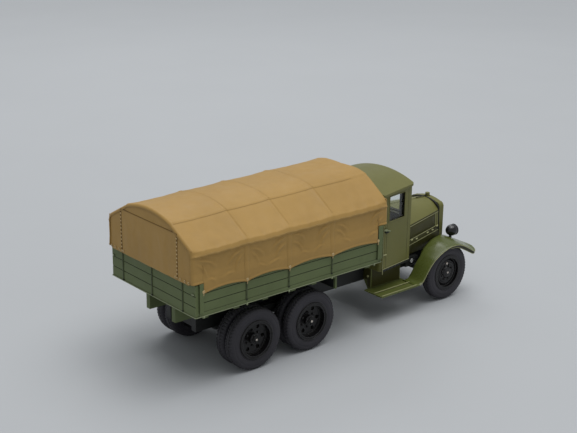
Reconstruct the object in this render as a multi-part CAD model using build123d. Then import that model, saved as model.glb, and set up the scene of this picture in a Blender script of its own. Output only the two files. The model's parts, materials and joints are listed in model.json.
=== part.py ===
from build123d import *
import math
import os

# Scale model of a three-axle cargo truck with a canvas tilt, in millimetres.
# Stations along the truck are measured forward from the tailgate's outer face, heights from the
# ground and widths from the centre line. The finished pieces are then moved so that the origin
# lies on the ground under the middle of the truck. +X is forward, +Y is left and +Z is up.
# The bed's length places the cab, the cab places the front axle and the bonnet, and the wheelbase
# places the bogie. Heights build up from the tyres, widths from the frame rails, bed and cab.

# Clearances
PRESS_PLAY = 0.02
RUNNING_PLAY = 0.05
SEAT_PLAY = 0.02
PANEL_GAP = 0.15
WHEEL_CLEARANCE = 0.5
CUT_OVERSHOOT = 1.0

# Lengths that place the main groups
BED_LENGTH = 91.1
CAB_GAP = 7.4
CAB_LENGTH = 19.1
CAB_TO_FRONT_AXLE = 19.9
WHEELBASE = 80.6
BOGIE_TYRE_GAP = 3.0
BONNET_LENGTH = 27.0
RADIATOR_DEPTH = 2.6
FENDER_TIP_LEAD = 17.7

# Heights that build up the truck
TYRE_RADIUS = 12.2
RAIL_RISE = 2.5
RAIL_DEPTH = 6.3
LONGERON_DEPTH = 6.6
BEARER_DEPTH = 2.0
FLOOR_THICKNESS = 1.6
BOARD_HEIGHT = 10.6
CAB_SKIRT = 0.1
CAB_SIDE_HEIGHT = 20.9
WINDOW_HEIGHT = 10.8
ROOF_RISE = 5.9
APRON_HEIGHT = 6.0
RADIATOR_HEIGHT = 13.2
STEP_RISE = 0.2

# Widths that build out the truck
RAIL_OUTER_Y = 9.5
SPRING_OFFSET = 1.2
SPRING_WIDTH = 2.4
TWIN_TYRE_OFFSET = 1.35
FRONT_TYRE_OFFSET = 4.1
TYRE_WIDTH = 4.8
TWIN_GAP = 0.7
FENDER_COVER = 2.0
FENDER_OFFSET = 0.3
BED_HALF_WIDTH = 27.0
CAB_REAR_HALF_WIDTH = 20.0
CAB_TAPER = 2.8

CAB_REAR_X = BED_LENGTH + CAB_GAP
CAB_FRONT_X = CAB_REAR_X + CAB_LENGTH
FRONT_AXLE_X = CAB_FRONT_X + CAB_TO_FRONT_AXLE
MIDDLE_AXLE_X = FRONT_AXLE_X - WHEELBASE
BOGIE_SPACING = 2 * TYRE_RADIUS + BOGIE_TYRE_GAP
REAR_AXLE_X = MIDDLE_AXLE_X - BOGIE_SPACING
BONNET_FRONT_X = CAB_FRONT_X + BONNET_LENGTH
RADIATOR_FRONT_X = BONNET_FRONT_X + RADIATOR_DEPTH
FENDER_TIP_X = FRONT_AXLE_X + FENDER_TIP_LEAD

AXLE_Z = TYRE_RADIUS
RAIL_BOTTOM_Z = AXLE_Z + RAIL_RISE
RAIL_TOP_Z = RAIL_BOTTOM_Z + RAIL_DEPTH
LONGERON_TOP_Z = RAIL_TOP_Z + LONGERON_DEPTH
FLOOR_BASE_Z = LONGERON_TOP_Z + BEARER_DEPTH
BOARD_BASE_Z = FLOOR_BASE_Z + FLOOR_THICKNESS
BOARD_TOP_Z = BOARD_BASE_Z + BOARD_HEIGHT
CAB_BASE_Z = RAIL_TOP_Z - CAB_SKIRT
WINDOW_BASE_Z = CAB_BASE_Z + CAB_SIDE_HEIGHT
WINDOW_TOP_Z = WINDOW_BASE_Z + WINDOW_HEIGHT
ROOF_CREST_Z = WINDOW_TOP_Z + ROOF_RISE
BONNET_BASE_Z = RAIL_TOP_Z + APRON_HEIGHT
RADIATOR_TOP_Z = BONNET_BASE_Z + RADIATOR_HEIGHT
BOARD_STEP_Z = AXLE_Z + STEP_RISE

TWIN_WIDTH = 2 * TYRE_WIDTH + TWIN_GAP
SPRING_Y = RAIL_OUTER_Y + SPRING_OFFSET + SPRING_WIDTH / 2
SPRING_INNER_Y = SPRING_Y - SPRING_WIDTH / 2
SPRING_OUTER_Y = SPRING_Y + SPRING_WIDTH / 2
TWIN_FACE_Y = SPRING_OUTER_Y + TWIN_TYRE_OFFSET + TWIN_WIDTH
FRONT_FACE_Y = SPRING_OUTER_Y + FRONT_TYRE_OFFSET + TYRE_WIDTH
FENDER_OUTER_Y = FRONT_FACE_Y + FENDER_COVER
FENDER_INNER_Y = RAIL_OUTER_Y + FENDER_OFFSET
CAB_FRONT_HALF_WIDTH = CAB_REAR_HALF_WIDTH - CAB_TAPER

# Wheels, tyres and axle rods
RIM_RADIUS = 7.3
RIM_WALL = 0.8
RIM_LIP = 0.45
RIM_LIP_INSET = 0.05
RIM_LIP_WIDTH = 0.35
BEAD_INSET = 0.45
TREAD_SHOULDER = 0.6
TREAD_CROWN = 0.12
DISC_WALL = 0.7
HUB_RADIUS = 2.1
HUB_STEP = 0.45
HUB_TAIL_RADIUS = 1.9
HUB_FLANGE_RADIUS = 1.5 * HUB_RADIUS
HUB_CAP_RADIUS = 1.25
HAND_HOLES = 6
HAND_HOLE_RADIUS = 0.85
HAND_HOLE_INSET = 1.8
ROD_RADIUS = 0.8
ROD_INSET = 1.3
FRONT_DISC_DEPTH = 2.4
FRONT_DISC_DISH = -1.3
FRONT_HUB_DEPTH = 0.1
TWIN_DISC_DEPTH = 2.3
TWIN_DISC_DISH = 0.5
TWIN_HUB_DEPTH = 0.7

# Frame
RAIL_FLANGE = 2.6
RAIL_WEB = 0.9
RAIL_REAR_OVERHANG = 17.0
RAIL_REAR_X = REAR_AXLE_X - RAIL_REAR_OVERHANG
HORN_START_LEAD = 1.6
HORN_TIP_LEAD = 6.2
HORN_START_X = RADIATOR_FRONT_X + HORN_START_LEAD
HORN_TIP_X = RADIATOR_FRONT_X + HORN_TIP_LEAD
HORN_TIP_HEIGHT = 2.6
CROSSMEMBER_LENGTH = 5.0
CROSSMEMBER_TAPER = 0.6
REAR_CROSSMEMBER_INSET = 3.5
MIDDLE_CROSSMEMBER_LEAD = 15.1
CAB_CROSSMEMBER_INSET = 2.5
FRONT_CROSSMEMBER_LEAD = 1.4
CROSSMEMBER_X = {
    "rear": RAIL_REAR_X + REAR_CROSSMEMBER_INSET,
    "middle": MIDDLE_AXLE_X + MIDDLE_CROSSMEMBER_LEAD,
    "cab": CAB_REAR_X + CAB_CROSSMEMBER_INSET,
    "front": BONNET_FRONT_X + FRONT_CROSSMEMBER_LEAD,
}
SCREWED_CROSSMEMBERS = ("rear", "front")
SCREW_HOLE_RADIUS = 0.9
SCREW_HOLE_DEPTH = 3.2

# Axle housings, front beam and springs
HOUSING_TUBE_RADIUS = 1.7
HOUSING_BULB_RADIUS = 4.0
PINION_RADIUS = 1.6
PINION_LENGTH = 5.6
SHAFT_RADIUS = 0.7
BEAM_DROP = 2.6
BEAM_DEPTH = 2.0
BEAM_WIDTH = 2.2
BEAM_RAMP = 3.5
BEAM_SEAT_MARGIN = 0.6
LEAF_THICKNESS = 0.55
LEAF_COUNT = 4
SPRING_PAD = 0.5
SPRING_PAD_LENGTH = 3.0
BOGIE_SPRING_RISE = 2.3
BOGIE_SPRING_TAIL = 1.5
SADDLE_TOP_LENGTH = 4.4
SADDLE_WAIST_LENGTH = 6.4
SADDLE_FOOT_LENGTH = 2.8
SADDLE_DROP = 3.3
SADDLE_PLAY = 0.15
FRONT_SPRING_SPAN = 23.0
FRONT_SPRING_RISE = 2.0
HANGER_EYE_LENGTH = 2.2
HANGER_TOP_LENGTH = 3.2
HANGER_TOP_INSET = 1.0

# Load bed
BOARD_THICKNESS = 1.6
SILL_PROUD = 0.2
PLANKS = 3
GROOVE_WIDTH = 0.3
GROOVE_DEPTH = 0.25
REAR_POST_LENGTH = 3.2
REAR_POST_RISE = 0.5
REAR_POST_TOP_Z = BOARD_TOP_Z + REAR_POST_RISE
FRONT_POST_LENGTH = 2.4
FRONT_POST_RISE = 3.3
FRONT_POST_TOP_Z = BOARD_TOP_Z + FRONT_POST_RISE
POST_PROUD = 0.65
STRAP_WIDTH = 0.6
STRAP_PROUD = 0.22
SIDE_STRAP_X = [share * BED_LENGTH for share in (0.25, 0.47, 0.707)]
TAILGATE_STRAP_INSET = 7.6
TAILGATE_STRAP_Y = (TAILGATE_STRAP_INSET - BED_HALF_WIDTH, 0, BED_HALF_WIDTH - TAILGATE_STRAP_INSET)
LONGERON_WIDTH = 2.2
LONGERON_INSET = 0.1
LONGERON_OUTER_Y = RAIL_OUTER_Y - LONGERON_INSET
LONGERON_REAR_X = 3.4
BEARER_WIDTH = 2.4
BEARER_SETBACK = 2.2
BEARER_HALF_LENGTH = BED_HALF_WIDTH - BEARER_SETBACK
REAR_BEARER_X = 6.0
FRONT_BEARER_INSET = 5.1
FRONT_BEARER_X = BED_LENGTH - FRONT_BEARER_INSET
MUD_BEARER_LEAD = 10.7
MUD_BEARER_X = MIDDLE_AXLE_X + MUD_BEARER_LEAD
MUD_BOARD_THICKNESS = 0.8
MUD_BOARD_DROP = 6.8
MUD_BOARD_INSET = 0.2
MUD_BOARD_WIDTH = 10.1
MUD_BOARD_OUTER_Y = BEARER_HALF_LENGTH - MUD_BOARD_INSET
MUD_BOARD_INNER_Y = MUD_BOARD_OUTER_Y - MUD_BOARD_WIDTH

# Tilt over the load bed
TILT_WALL = 0.5
TILT_STANDOFF = 0.1
TILT_HALF_WIDTH = BED_HALF_WIDTH + TILT_STANDOFF + TILT_WALL
TILT_REAR_OVERHANG = 1.5
TILT_FRONT_OVERHANG = 2.9
TILT_HEM_OVERLAP = 3.6
TILT_HEM_Z = BOARD_TOP_Z - TILT_HEM_OVERLAP
TILT_HEM_SCALLOP = 1.2
TILT_REAR_HEM_OVERLAP = 0.2
TILT_REAR_HEM_Z = BOARD_TOP_Z - TILT_REAR_HEM_OVERLAP
TILT_SIDE_RISE = 11.4
TILT_EAVE_Z = BOARD_TOP_Z + TILT_SIDE_RISE
TILT_EAVE_ROUND = 1.4
TILT_EAVE_LEAN = 0.63
TILT_LIP_HEIGHT = 1.1
TILT_LIP_PROUD = 0.22
TILT_SLOPE_WIDTH = 13.6
TILT_SLOPE_RISE = 8.7
TILT_CROWN_RISE = 2.5
TILT_SHOULDER_Y = TILT_HALF_WIDTH - TILT_SLOPE_WIDTH
TILT_SHOULDER_Z = TILT_EAVE_Z + TILT_SLOPE_RISE
TILT_CREST_Z = TILT_SHOULDER_Z + TILT_CROWN_RISE
TILT_SAG = 0.4
TILT_SHOULDER_LIFT = 1.4
TILT_END_ROUND = 1.1

# Cab
CAB_CORNER_RADIUS = 2.0
CAB_WALL = 1.3
CAB_FLOOR_THICKNESS = 1.2
DOOR_REAR_INSET = 2.8
DOOR_FRONT_INSET = 2.0
DOOR_SILL = 1.2
WINDOW_REAR_STILE = 1.3
WINDOW_FRONT_STILE = 2.6
WINDSCREEN_PILLAR = 3.2
DOOR_REAR_X = CAB_REAR_X + DOOR_REAR_INSET
DOOR_FRONT_X = CAB_FRONT_X - DOOR_FRONT_INSET
DOOR_BASE_Z = CAB_BASE_Z + DOOR_SILL
DOOR_WINDOW_REAR_X = DOOR_REAR_X + WINDOW_REAR_STILE
DOOR_WINDOW_FRONT_X = DOOR_FRONT_X - WINDOW_FRONT_STILE
WINDSCREEN_HALF_WIDTH = CAB_FRONT_HALF_WIDTH - WINDSCREEN_PILLAR
REAR_WINDOW_HALF_WIDTH = 6.5
REAR_WINDOW_SILL = 3.2
REAR_WINDOW_BASE_Z = WINDOW_BASE_Z + REAR_WINDOW_SILL
GLASS_THICKNESS = 0.5
GLASS_DEPTH = 0.45
ROOF_THICKNESS = 0.9
ROOF_OVERHANG = 0.6
ROOF_VISOR = 0.7
ROOF_ARCH = 4.42
ROOF_CORNER_RADIUS = 1.2
ROOF_EAVE_Y = CAB_REAR_HALF_WIDTH + ROOF_OVERHANG
ROOF_RADIUS = (ROOF_EAVE_Y ** 2 + ROOF_ARCH ** 2) / (2 * ROOF_ARCH)
SEAT_INSET = 2.2
SEAT_HEIGHT = 10.1
SEAT_BACK_RISE = 1.7
SEAT_HALF_WIDTH = CAB_FRONT_HALF_WIDTH - SEAT_INSET
SEAT_CUSHION_Z = CAB_BASE_Z + SEAT_HEIGHT
SEAT_BACK_Z = WINDOW_BASE_Z + SEAT_BACK_RISE
SEAT_BACK_DEPTH = 3.0
SEAT_DEPTH = 8.6
SEAT_NOSE = 1.0
SEAT_CUSHION_DEPTH = 3.0
DASH_DEPTH = 1.8
DASH_DROP = 0.4
DASH_HEIGHT = 4.0
DASH_INSET = 2.2
DASH_TOP_Z = WINDOW_BASE_Z - DASH_DROP
DASH_BASE_Z = DASH_TOP_Z - DASH_HEIGHT
DASH_HALF_WIDTH = CAB_FRONT_HALF_WIDTH - DASH_INSET
STEERING_Y = 8.0
STEERING_WHEEL_RADIUS = 4.3
STEERING_RIM_RADIUS = 0.42
STEERING_HUB_SETBACK = 7.4
STEERING_HUB_DROP = 4.6
STEERING_FOOT_SETBACK = 2.2
STEERING_HUB_X = CAB_FRONT_X - STEERING_HUB_SETBACK
STEERING_HUB_Z = WINDOW_BASE_Z - STEERING_HUB_DROP
STEERING_FOOT_X = CAB_FRONT_X - STEERING_FOOT_SETBACK
COLUMN_RADIUS = 0.5

# Bonnet, radiator, lamps and engine
BONNET_WALL = 0.9
BONNET_REAR_FOOT_INSET = 4.6
BONNET_REAR_BASE_INSET = 1.2
BONNET_REAR_CREASE_INSET = 2.0
BONNET_REAR_CREASE_RISE = 8.5
BONNET_REAR_CREST_RISE = 14.2
BONNET_FRONT_FOOT_PROUD = 0.7
BONNET_FRONT_CREASE_INSET = 0.4
BONNET_FRONT_CREASE_RISE = 9.0
BONNET_FRONT_CREST_RISE = 12.9
RADIATOR_INSET = 0.8
RADIATOR_CROWN_RISE = 3.0
RADIATOR_HALF_WIDTH = RAIL_OUTER_Y - RADIATOR_INSET
RADIATOR_SHOULDER_Z = RADIATOR_TOP_Z - RADIATOR_CROWN_RISE
RADIATOR_ROUND_Y = 2.2
RADIATOR_ROUND_Z = 1.9
RADIATOR_FRAME = 1.2
RADIATOR_SILL = 2.4
RADIATOR_CORE_DEPTH = 1.4
RADIATOR_CORE_INSET = 0.7
CORE_GROOVES = 9
CORE_GROOVE_WIDTH = 0.5
CORE_GROOVE_DEPTH = 0.4
CAP_RADIUS = 1.0
CAP_HEIGHT = 1.3
LAMP_LEAD = 10.5
LAMP_OFFSET = 3.0
LAMP_X = FRONT_AXLE_X + LAMP_LEAD
LAMP_Y = FENDER_INNER_Y + LAMP_OFFSET
LAMP_RISE = 3.0
LAMP_RADIUS = 2.35
LAMP_LENGTH = 5.2
LAMP_RIM_LENGTH = 0.8
LAMP_RIM_WALL = 0.35
LAMP_STEM_RADIUS = 0.55
LENS_SEAT_DEPTH = 0.4
LENS_DOME = 0.55
LENS_FLAT_RADIUS = 0.35
ENGINE_REAR_GAP = 2.9
ENGINE_FRONT_GAP = 4.1
ENGINE_REAR_X = CAB_FRONT_X + ENGINE_REAR_GAP
ENGINE_FRONT_X = BONNET_FRONT_X - ENGINE_FRONT_GAP
ENGINE_HALF_WIDTH = 5.0
SUMP_DROP = 1.3
ENGINE_RISE = 6.0
ENGINE_BASE_Z = RAIL_BOTTOM_Z - SUMP_DROP
ENGINE_TOP_Z = BONNET_BASE_Z + ENGINE_RISE
ENGINE_NOSE_LENGTH = 6.0
ENGINE_NOSE_RISE = 4.0
ENGINE_FOOT_LENGTH = 3.0
ENGINE_FOOT_THICKNESS = 1.2
GEARBOX_SETBACK = 10.1
GEARBOX_REAR_X = CAB_FRONT_X - GEARBOX_SETBACK
GEARBOX_HALF_WIDTH = 3.2
GEARBOX_DROP = 2.3
GEARBOX_TOP_DROP = 1.0
GEARBOX_BASE_Z = RAIL_BOTTOM_Z - GEARBOX_DROP
GEARBOX_TOP_Z = RAIL_TOP_Z - GEARBOX_TOP_DROP
GEARBOX_TAPER = 2.0
GEARBOX_SHAFT_RISE = 1.4
GEARBOX_SHAFT_Z = GEARBOX_BASE_Z + GEARBOX_SHAFT_RISE

# Fenders, aprons and running boards
FENDER_ROOM = 6.1
FENDER_HUB_DROP = 3.4
FENDER_RADIUS = TYRE_RADIUS + FENDER_ROOM
FENDER_HUB_Z = AXLE_Z - FENDER_HUB_DROP
FENDER_REAR_SWEEP = 62.0
FENDER_FRONT_SWEEP = 35.0
FENDER_FLARE_RADIUS = 3.0
FENDER_CROWN = 1.7
FENDER_INNER_DROP = 0.3
FENDER_CROWN_INSET = 1.0
FENDER_WALL = 0.8
FENDER_TIP_ROUND = 4.5
FENDER_HEEL_INSET = 4.8
STEP_THICKNESS = 0.8
STEP_OVERHANG = 2.9
STEP_OFFSET = 4.1
STEP_REAR_X = CAB_REAR_X - STEP_OVERHANG
STEP_INNER_Y = RAIL_OUTER_Y + STEP_OFFSET
STEP_RIDGE = 0.25
STEP_RIDGE_WIDTH = 0.45
STEP_APRON = 0.6
STEP_APRON_SETBACK = 1.2
STEP_GUSSET_FOOT = 1.2
STEP_BRACKET_INSET = 6.0
STEP_BRACKET_WIDTH = 1.6
STEP_BRACKET_THICKNESS = 0.7
STEP_BRACKET_TIP = 1.5
STEP_BRACKET_DROP = 2.0

ORIGIN_X = (FENDER_TIP_X - TILT_REAR_OVERHANG) / 2


def outline(*points):
    """Closed flat face with straight edges."""
    return make_face(Polyline(*points, close=True))


def strip(a_low, a_high, b_low, b_high):
    """Rectangle between two pairs of limits."""
    return outline((a_low, b_low), (a_high, b_low), (a_high, b_high), (a_low, b_high))


def from_side(face, y_low, y_high):
    """Push an outline drawn in X and Z across the truck."""
    return extrude(Plane((0, y_high, 0), x_dir=(1, 0, 0), z_dir=(0, -1, 0)) * face, y_high - y_low)


def from_end(face, x_low, x_high):
    """Push a section drawn in Y and Z along the truck."""
    return extrude(Plane((x_low, 0, 0), x_dir=(0, 1, 0), z_dir=(1, 0, 0)) * face, x_high - x_low)


def from_above(face, z_low, z_high):
    """Push a plan drawn in X and Y upwards."""
    return extrude(Pos(0, 0, z_low) * face, z_high - z_low)


def end_section(face, x, z=0.0):
    """Stand a section drawn in Y and Z at one station, lifted by z."""
    return Plane((x, 0, z), x_dir=(0, 1, 0), z_dir=(1, 0, 0)) * face


def turned(face):
    """Turn a profile drawn in Y and radius about the cross axis."""
    return revolve(Plane.YZ * face, Axis.Y)


def both_sides(shape):
    """The shape and its mirror image on the other side of the truck."""
    return Part() + [shape, mirror(shape, Plane.XZ)]


def save(node, shape):
    """Write one piece in the finished frame."""
    export_step(Pos(-ORIGIN_X, 0, 0) * shape, f"parts/{node}.step")


def tyre(outer_face_y):
    """One tyre on the left, its outer wall at outer_face_y."""
    half = TYRE_WIDTH / 2
    bead = half - BEAD_INSET
    tread = bead - TREAD_SHOULDER
    bore = RIM_RADIUS + PRESS_PLAY
    bead_r = RIM_RADIUS + RIM_LIP + PRESS_PLAY
    shoulder_r = TYRE_RADIUS - TREAD_SHOULDER
    bulge_r = (bead_r + shoulder_r) / 2
    tread_r = TYRE_RADIUS - TREAD_CROWN
    profile = make_face([
        Polyline((-bead, bead_r), (-bead, bore), (bead, bore), (bead, bead_r)),
        ThreePointArc((bead, bead_r), (half, bulge_r), (bead, shoulder_r)),
        Line((bead, shoulder_r), (tread, tread_r)),
        ThreePointArc((tread, tread_r), (0, TYRE_RADIUS), (-tread, tread_r)),
        Line((-tread, tread_r), (-bead, shoulder_r)),
        ThreePointArc((-bead, shoulder_r), (-half, bulge_r), (-bead, bead_r)),
    ])
    return Pos(0, outer_face_y - half, 0) * turned(profile)


def wheel(outer_face_y, width, disc_depth, dish, hub_depth):
    """One pressed disc wheel on the left; depths are measured inwards from the outer face.

    disc_depth is where the disc meets the barrel and dish how much deeper its middle lies.
    """
    lip_low = RIM_LIP_INSET
    lip_high = RIM_LIP_INSET + RIM_LIP_WIDTH
    barrel = RIM_RADIUS - RIM_WALL
    lip = RIM_RADIUS + RIM_LIP
    bore = ROD_RADIUS + PRESS_PLAY
    middle = disc_depth + dish
    profile = outline(
        (hub_depth, 0),
        (hub_depth, HUB_CAP_RADIUS),
        (hub_depth + HUB_STEP, HUB_CAP_RADIUS),
        (hub_depth + HUB_STEP, HUB_RADIUS),
        (middle, HUB_RADIUS),
        (middle, HUB_FLANGE_RADIUS),
        (disc_depth, barrel),
        (lip_low, barrel),
        (lip_low, lip),
        (lip_high, lip),
        (lip_high, RIM_RADIUS),
        (width - lip_high, RIM_RADIUS),
        (width - lip_high, lip),
        (width - lip_low, lip),
        (width - lip_low, barrel),
        (disc_depth + DISC_WALL, barrel),
        (middle + DISC_WALL, HUB_FLANGE_RADIUS),
        (middle + DISC_WALL, HUB_TAIL_RADIUS),
        (width, HUB_TAIL_RADIUS),
        (width, bore),
        (ROD_INSET, bore),
        (ROD_INSET, 0),
    )
    body = turned(profile)
    deepest = max(middle, disc_depth) + DISC_WALL
    drill = Rot(90, 0, 0) * Cylinder(HAND_HOLE_RADIUS, 2 * deepest)
    for step in range(HAND_HOLES):
        body -= Rot(0, step * 360 / HAND_HOLES, 0) * Pos(barrel - HAND_HOLE_INSET, 0, 0) * drill
    return Pos(0, outer_face_y, 0) * mirror(body, Plane.XZ)


def wheelset(name, axle_x, outer_face_y, width, tyre_faces, disc_depth, dish, hub_depth):
    """Rod, wheels and tyres that turn together on one axle."""
    place = Pos(axle_x, 0, AXLE_Z)
    rod_half = outer_face_y - ROD_INSET - PRESS_PLAY
    rod = Rot(90, 0, 0) * Cylinder(ROD_RADIUS, 2 * rod_half)
    save(f"{name}_axle_rod", place * rod)
    save(f"{name}_wheels", place * both_sides(wheel(outer_face_y, width, disc_depth, dish, hub_depth)))
    tyres = Part() + [tyre(face) for face in tyre_faces]
    save(f"{name}_tyres", place * both_sides(tyres))


def wheelsets():
    """Front single wheels with a dished-out disc, and two axles of deep twin wheels."""
    twin_faces = (TWIN_FACE_Y, TWIN_FACE_Y - TYRE_WIDTH - TWIN_GAP)
    front_disc = (FRONT_DISC_DEPTH, FRONT_DISC_DISH, FRONT_HUB_DEPTH)
    twin_disc = (TWIN_DISC_DEPTH, TWIN_DISC_DISH, TWIN_HUB_DEPTH)
    # name, axle station, outer face, width, tyre faces, disc depth with its dish and hub depth
    table = (
        ("front", FRONT_AXLE_X, FRONT_FACE_Y, TYRE_WIDTH, (FRONT_FACE_Y,), *front_disc),
        ("middle", MIDDLE_AXLE_X, TWIN_FACE_Y, TWIN_WIDTH, twin_faces, *twin_disc),
        ("rear", REAR_AXLE_X, TWIN_FACE_Y, TWIN_WIDTH, twin_faces, *twin_disc),
    )
    for row in table:
        wheelset(*row)


def axle_housing(axle_x):
    """Driven axle: a round gear case on a tube, with its pinion nose and spring pads."""
    tube_end = TWIN_FACE_Y - TWIN_WIDTH - WHEEL_CLEARANCE
    bore = ROD_RADIUS + RUNNING_PLAY
    bulb_half = math.sqrt(HOUSING_BULB_RADIUS ** 2 - HOUSING_TUBE_RADIUS ** 2)
    profile = make_face([
        Line((-tube_end, bore), (tube_end, bore)),
        Line((tube_end, bore), (tube_end, HOUSING_TUBE_RADIUS)),
        Line((tube_end, HOUSING_TUBE_RADIUS), (bulb_half, HOUSING_TUBE_RADIUS)),
        ThreePointArc((bulb_half, HOUSING_TUBE_RADIUS), (0, HOUSING_BULB_RADIUS),
                      (-bulb_half, HOUSING_TUBE_RADIUS)),
        Line((-bulb_half, HOUSING_TUBE_RADIUS), (-tube_end, HOUSING_TUBE_RADIUS)),
        Line((-tube_end, HOUSING_TUBE_RADIUS), (-tube_end, bore)),
    ])
    nose = Cylinder(PINION_RADIUS, PINION_LENGTH, align=(Align.CENTER, Align.CENTER, Align.MIN))
    hollow = Rot(90, 0, 0) * Cylinder(bore, 2 * tube_end)
    pad_half = SPRING_PAD_LENGTH / 2
    pad = from_side(strip(-pad_half, pad_half, 0, HOUSING_TUBE_RADIUS + SPRING_PAD),
                    SPRING_INNER_Y, SPRING_OUTER_Y)
    body = turned(profile) + Rot(0, 90, 0) * nose + both_sides(pad) - hollow
    return Pos(axle_x, 0, AXLE_Z) * body


def leaf(half, radius, index):
    """One leaf of a spring, drawn in X and Z about the middle; further leaves are shorter."""
    inner = radius + index * LEAF_THICKNESS
    outer = inner + LEAF_THICKNESS
    angle = math.asin(half * (1 - index / LEAF_COUNT) / radius)

    def at(r, turn):
        return (r * math.sin(turn), r * math.cos(turn) - radius)

    return make_face([
        ThreePointArc(at(inner, -angle), at(inner, 0), at(inner, angle)),
        Line(at(inner, angle), at(outer, angle)),
        ThreePointArc(at(outer, angle), at(outer, 0), at(outer, -angle)),
        Line(at(outer, -angle), at(inner, -angle)),
    ])


def leaf_pack(span, rise, crown_up, tail=0.0):
    """Leaf spring about its middle; the main leaf's inner curve starts at height 0.

    The arc rises or drops by rise out to the main leaf's end, tail beyond the span.
    """
    half = span / 2 + tail
    radius = (half ** 2 + rise ** 2) / (2 * rise)
    pack = Part() + [from_side(leaf(half, radius, index), SPRING_INNER_Y, SPRING_OUTER_Y)
                     for index in range(LEAF_COUNT)]
    return pack if crown_up else mirror(pack, Plane.XY)


def bogie():
    """Two driven axles under one pair of springs, with the saddles that hang them on the rails."""
    save("rear_axle_housing", axle_housing(REAR_AXLE_X))
    save("middle_axle_housing", axle_housing(MIDDLE_AXLE_X))

    middle_x = (REAR_AXLE_X + MIDDLE_AXLE_X) / 2
    spring_z = AXLE_Z + HOUSING_TUBE_RADIUS + SPRING_PAD + SEAT_PLAY + BOGIE_SPRING_RISE
    spring = leaf_pack(BOGIE_SPACING, BOGIE_SPRING_RISE, True, BOGIE_SPRING_TAIL)
    save("bogie_springs", both_sides(Pos(middle_x, 0, spring_z) * spring))

    top = spring_z - SADDLE_PLAY
    foot_z = RAIL_BOTTOM_Z - SADDLE_DROP
    half_top = SADDLE_TOP_LENGTH / 2
    half_waist = SADDLE_WAIST_LENGTH / 2
    half_foot = SADDLE_FOOT_LENGTH / 2
    saddle = outline((-half_waist, RAIL_BOTTOM_Z), (-half_foot, foot_z), (half_foot, foot_z),
                     (half_waist, RAIL_BOTTOM_Z), (half_top, top), (-half_top, top))
    bracket = from_side(saddle, RAIL_OUTER_Y, SPRING_OUTER_Y)
    save("bogie_brackets", both_sides(Pos(middle_x, 0, 0) * bracket))


def front_axle():
    """Dropped beam, its leaf springs and the hangers at the springs' ends."""
    boss_end = FRONT_FACE_Y - TYRE_WIDTH - WHEEL_CLEARANCE
    seat_start = SPRING_INNER_Y - BEAM_SEAT_MARGIN
    ramp_start = SPRING_INNER_Y - BEAM_RAMP
    low = -BEAM_DROP - BEAM_DEPTH / 2
    seat_top = ROD_RADIUS + SPRING_PAD
    half_beam = outline((0, low), (ramp_start, low), (SPRING_INNER_Y, -seat_top), (boss_end, -seat_top),
                        (boss_end, seat_top), (seat_start, seat_top), (ramp_start, low + BEAM_DEPTH),
                        (0, low + BEAM_DEPTH))
    beam = both_sides(from_end(half_beam, -BEAM_WIDTH / 2, BEAM_WIDTH / 2))
    beam -= Rot(90, 0, 0) * Cylinder(ROD_RADIUS + RUNNING_PLAY, 2 * boss_end + CUT_OVERSHOOT)
    save("front_axle_beam", Pos(FRONT_AXLE_X, 0, AXLE_Z) * beam)

    spring_z = AXLE_Z + seat_top + SEAT_PLAY + LEAF_COUNT * LEAF_THICKNESS
    spring = leaf_pack(FRONT_SPRING_SPAN, FRONT_SPRING_RISE, False)
    save("front_springs", both_sides(Pos(FRONT_AXLE_X, 0, spring_z) * spring))
    eye_z = spring_z + FRONT_SPRING_RISE + SEAT_PLAY
    half_eye = HANGER_EYE_LENGTH / 2
    half_top = HANGER_TOP_LENGTH / 2
    hangers = []
    for x in (FRONT_AXLE_X - FRONT_SPRING_SPAN / 2, FRONT_AXLE_X + FRONT_SPRING_SPAN / 2):
        under_fender = fender_height(x + half_top) - FENDER_INNER_DROP - FENDER_WALL - PANEL_GAP
        top_z = min(RAIL_TOP_Z - HANGER_TOP_INSET, under_fender)
        shape = outline((x - half_eye, eye_z), (x + half_eye, eye_z),
                        (x + half_top, top_z), (x - half_top, top_z))
        hangers.append(from_side(shape, RAIL_OUTER_Y, SPRING_OUTER_Y))
    save("spring_hangers", both_sides(Part() + hangers))


def frame():
    """Two channel rails with the crossmembers between them."""
    side = outline((RAIL_REAR_X, RAIL_BOTTOM_Z), (HORN_TIP_X, RAIL_BOTTOM_Z),
                   (HORN_TIP_X, RAIL_BOTTOM_Z + HORN_TIP_HEIGHT), (HORN_START_X, RAIL_TOP_Z),
                   (RAIL_REAR_X, RAIL_TOP_Z))
    rail = from_side(side, RAIL_OUTER_Y - RAIL_FLANGE, RAIL_OUTER_Y)
    pocket = offset(side, -RAIL_WEB, kind=Kind.INTERSECTION)
    rail -= from_side(pocket, RAIL_OUTER_Y - RAIL_FLANGE, RAIL_OUTER_Y - RAIL_WEB)
    save("frame_rail_left", rail)
    save("frame_rail_right", mirror(rail, Plane.XZ))

    half = CROSSMEMBER_LENGTH / 2
    half_top = half - CROSSMEMBER_TAPER
    reach = RAIL_OUTER_Y - RAIL_WEB - SEAT_PLAY
    base = RAIL_BOTTOM_Z + RAIL_WEB + SEAT_PLAY
    top = RAIL_TOP_Z - RAIL_WEB - SEAT_PLAY
    drill = Pos(0, 0, base) * Cylinder(SCREW_HOLE_RADIUS, 2 * SCREW_HOLE_DEPTH)
    for name, x in CROSSMEMBER_X.items():
        section = outline((-half, base), (half, base), (half_top, top), (-half_top, top))
        beam = from_side(section, -reach, reach)
        if name in SCREWED_CROSSMEMBERS:
            beam -= drill
        save(f"crossmember_{name}", Pos(x, 0, 0) * beam)


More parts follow.
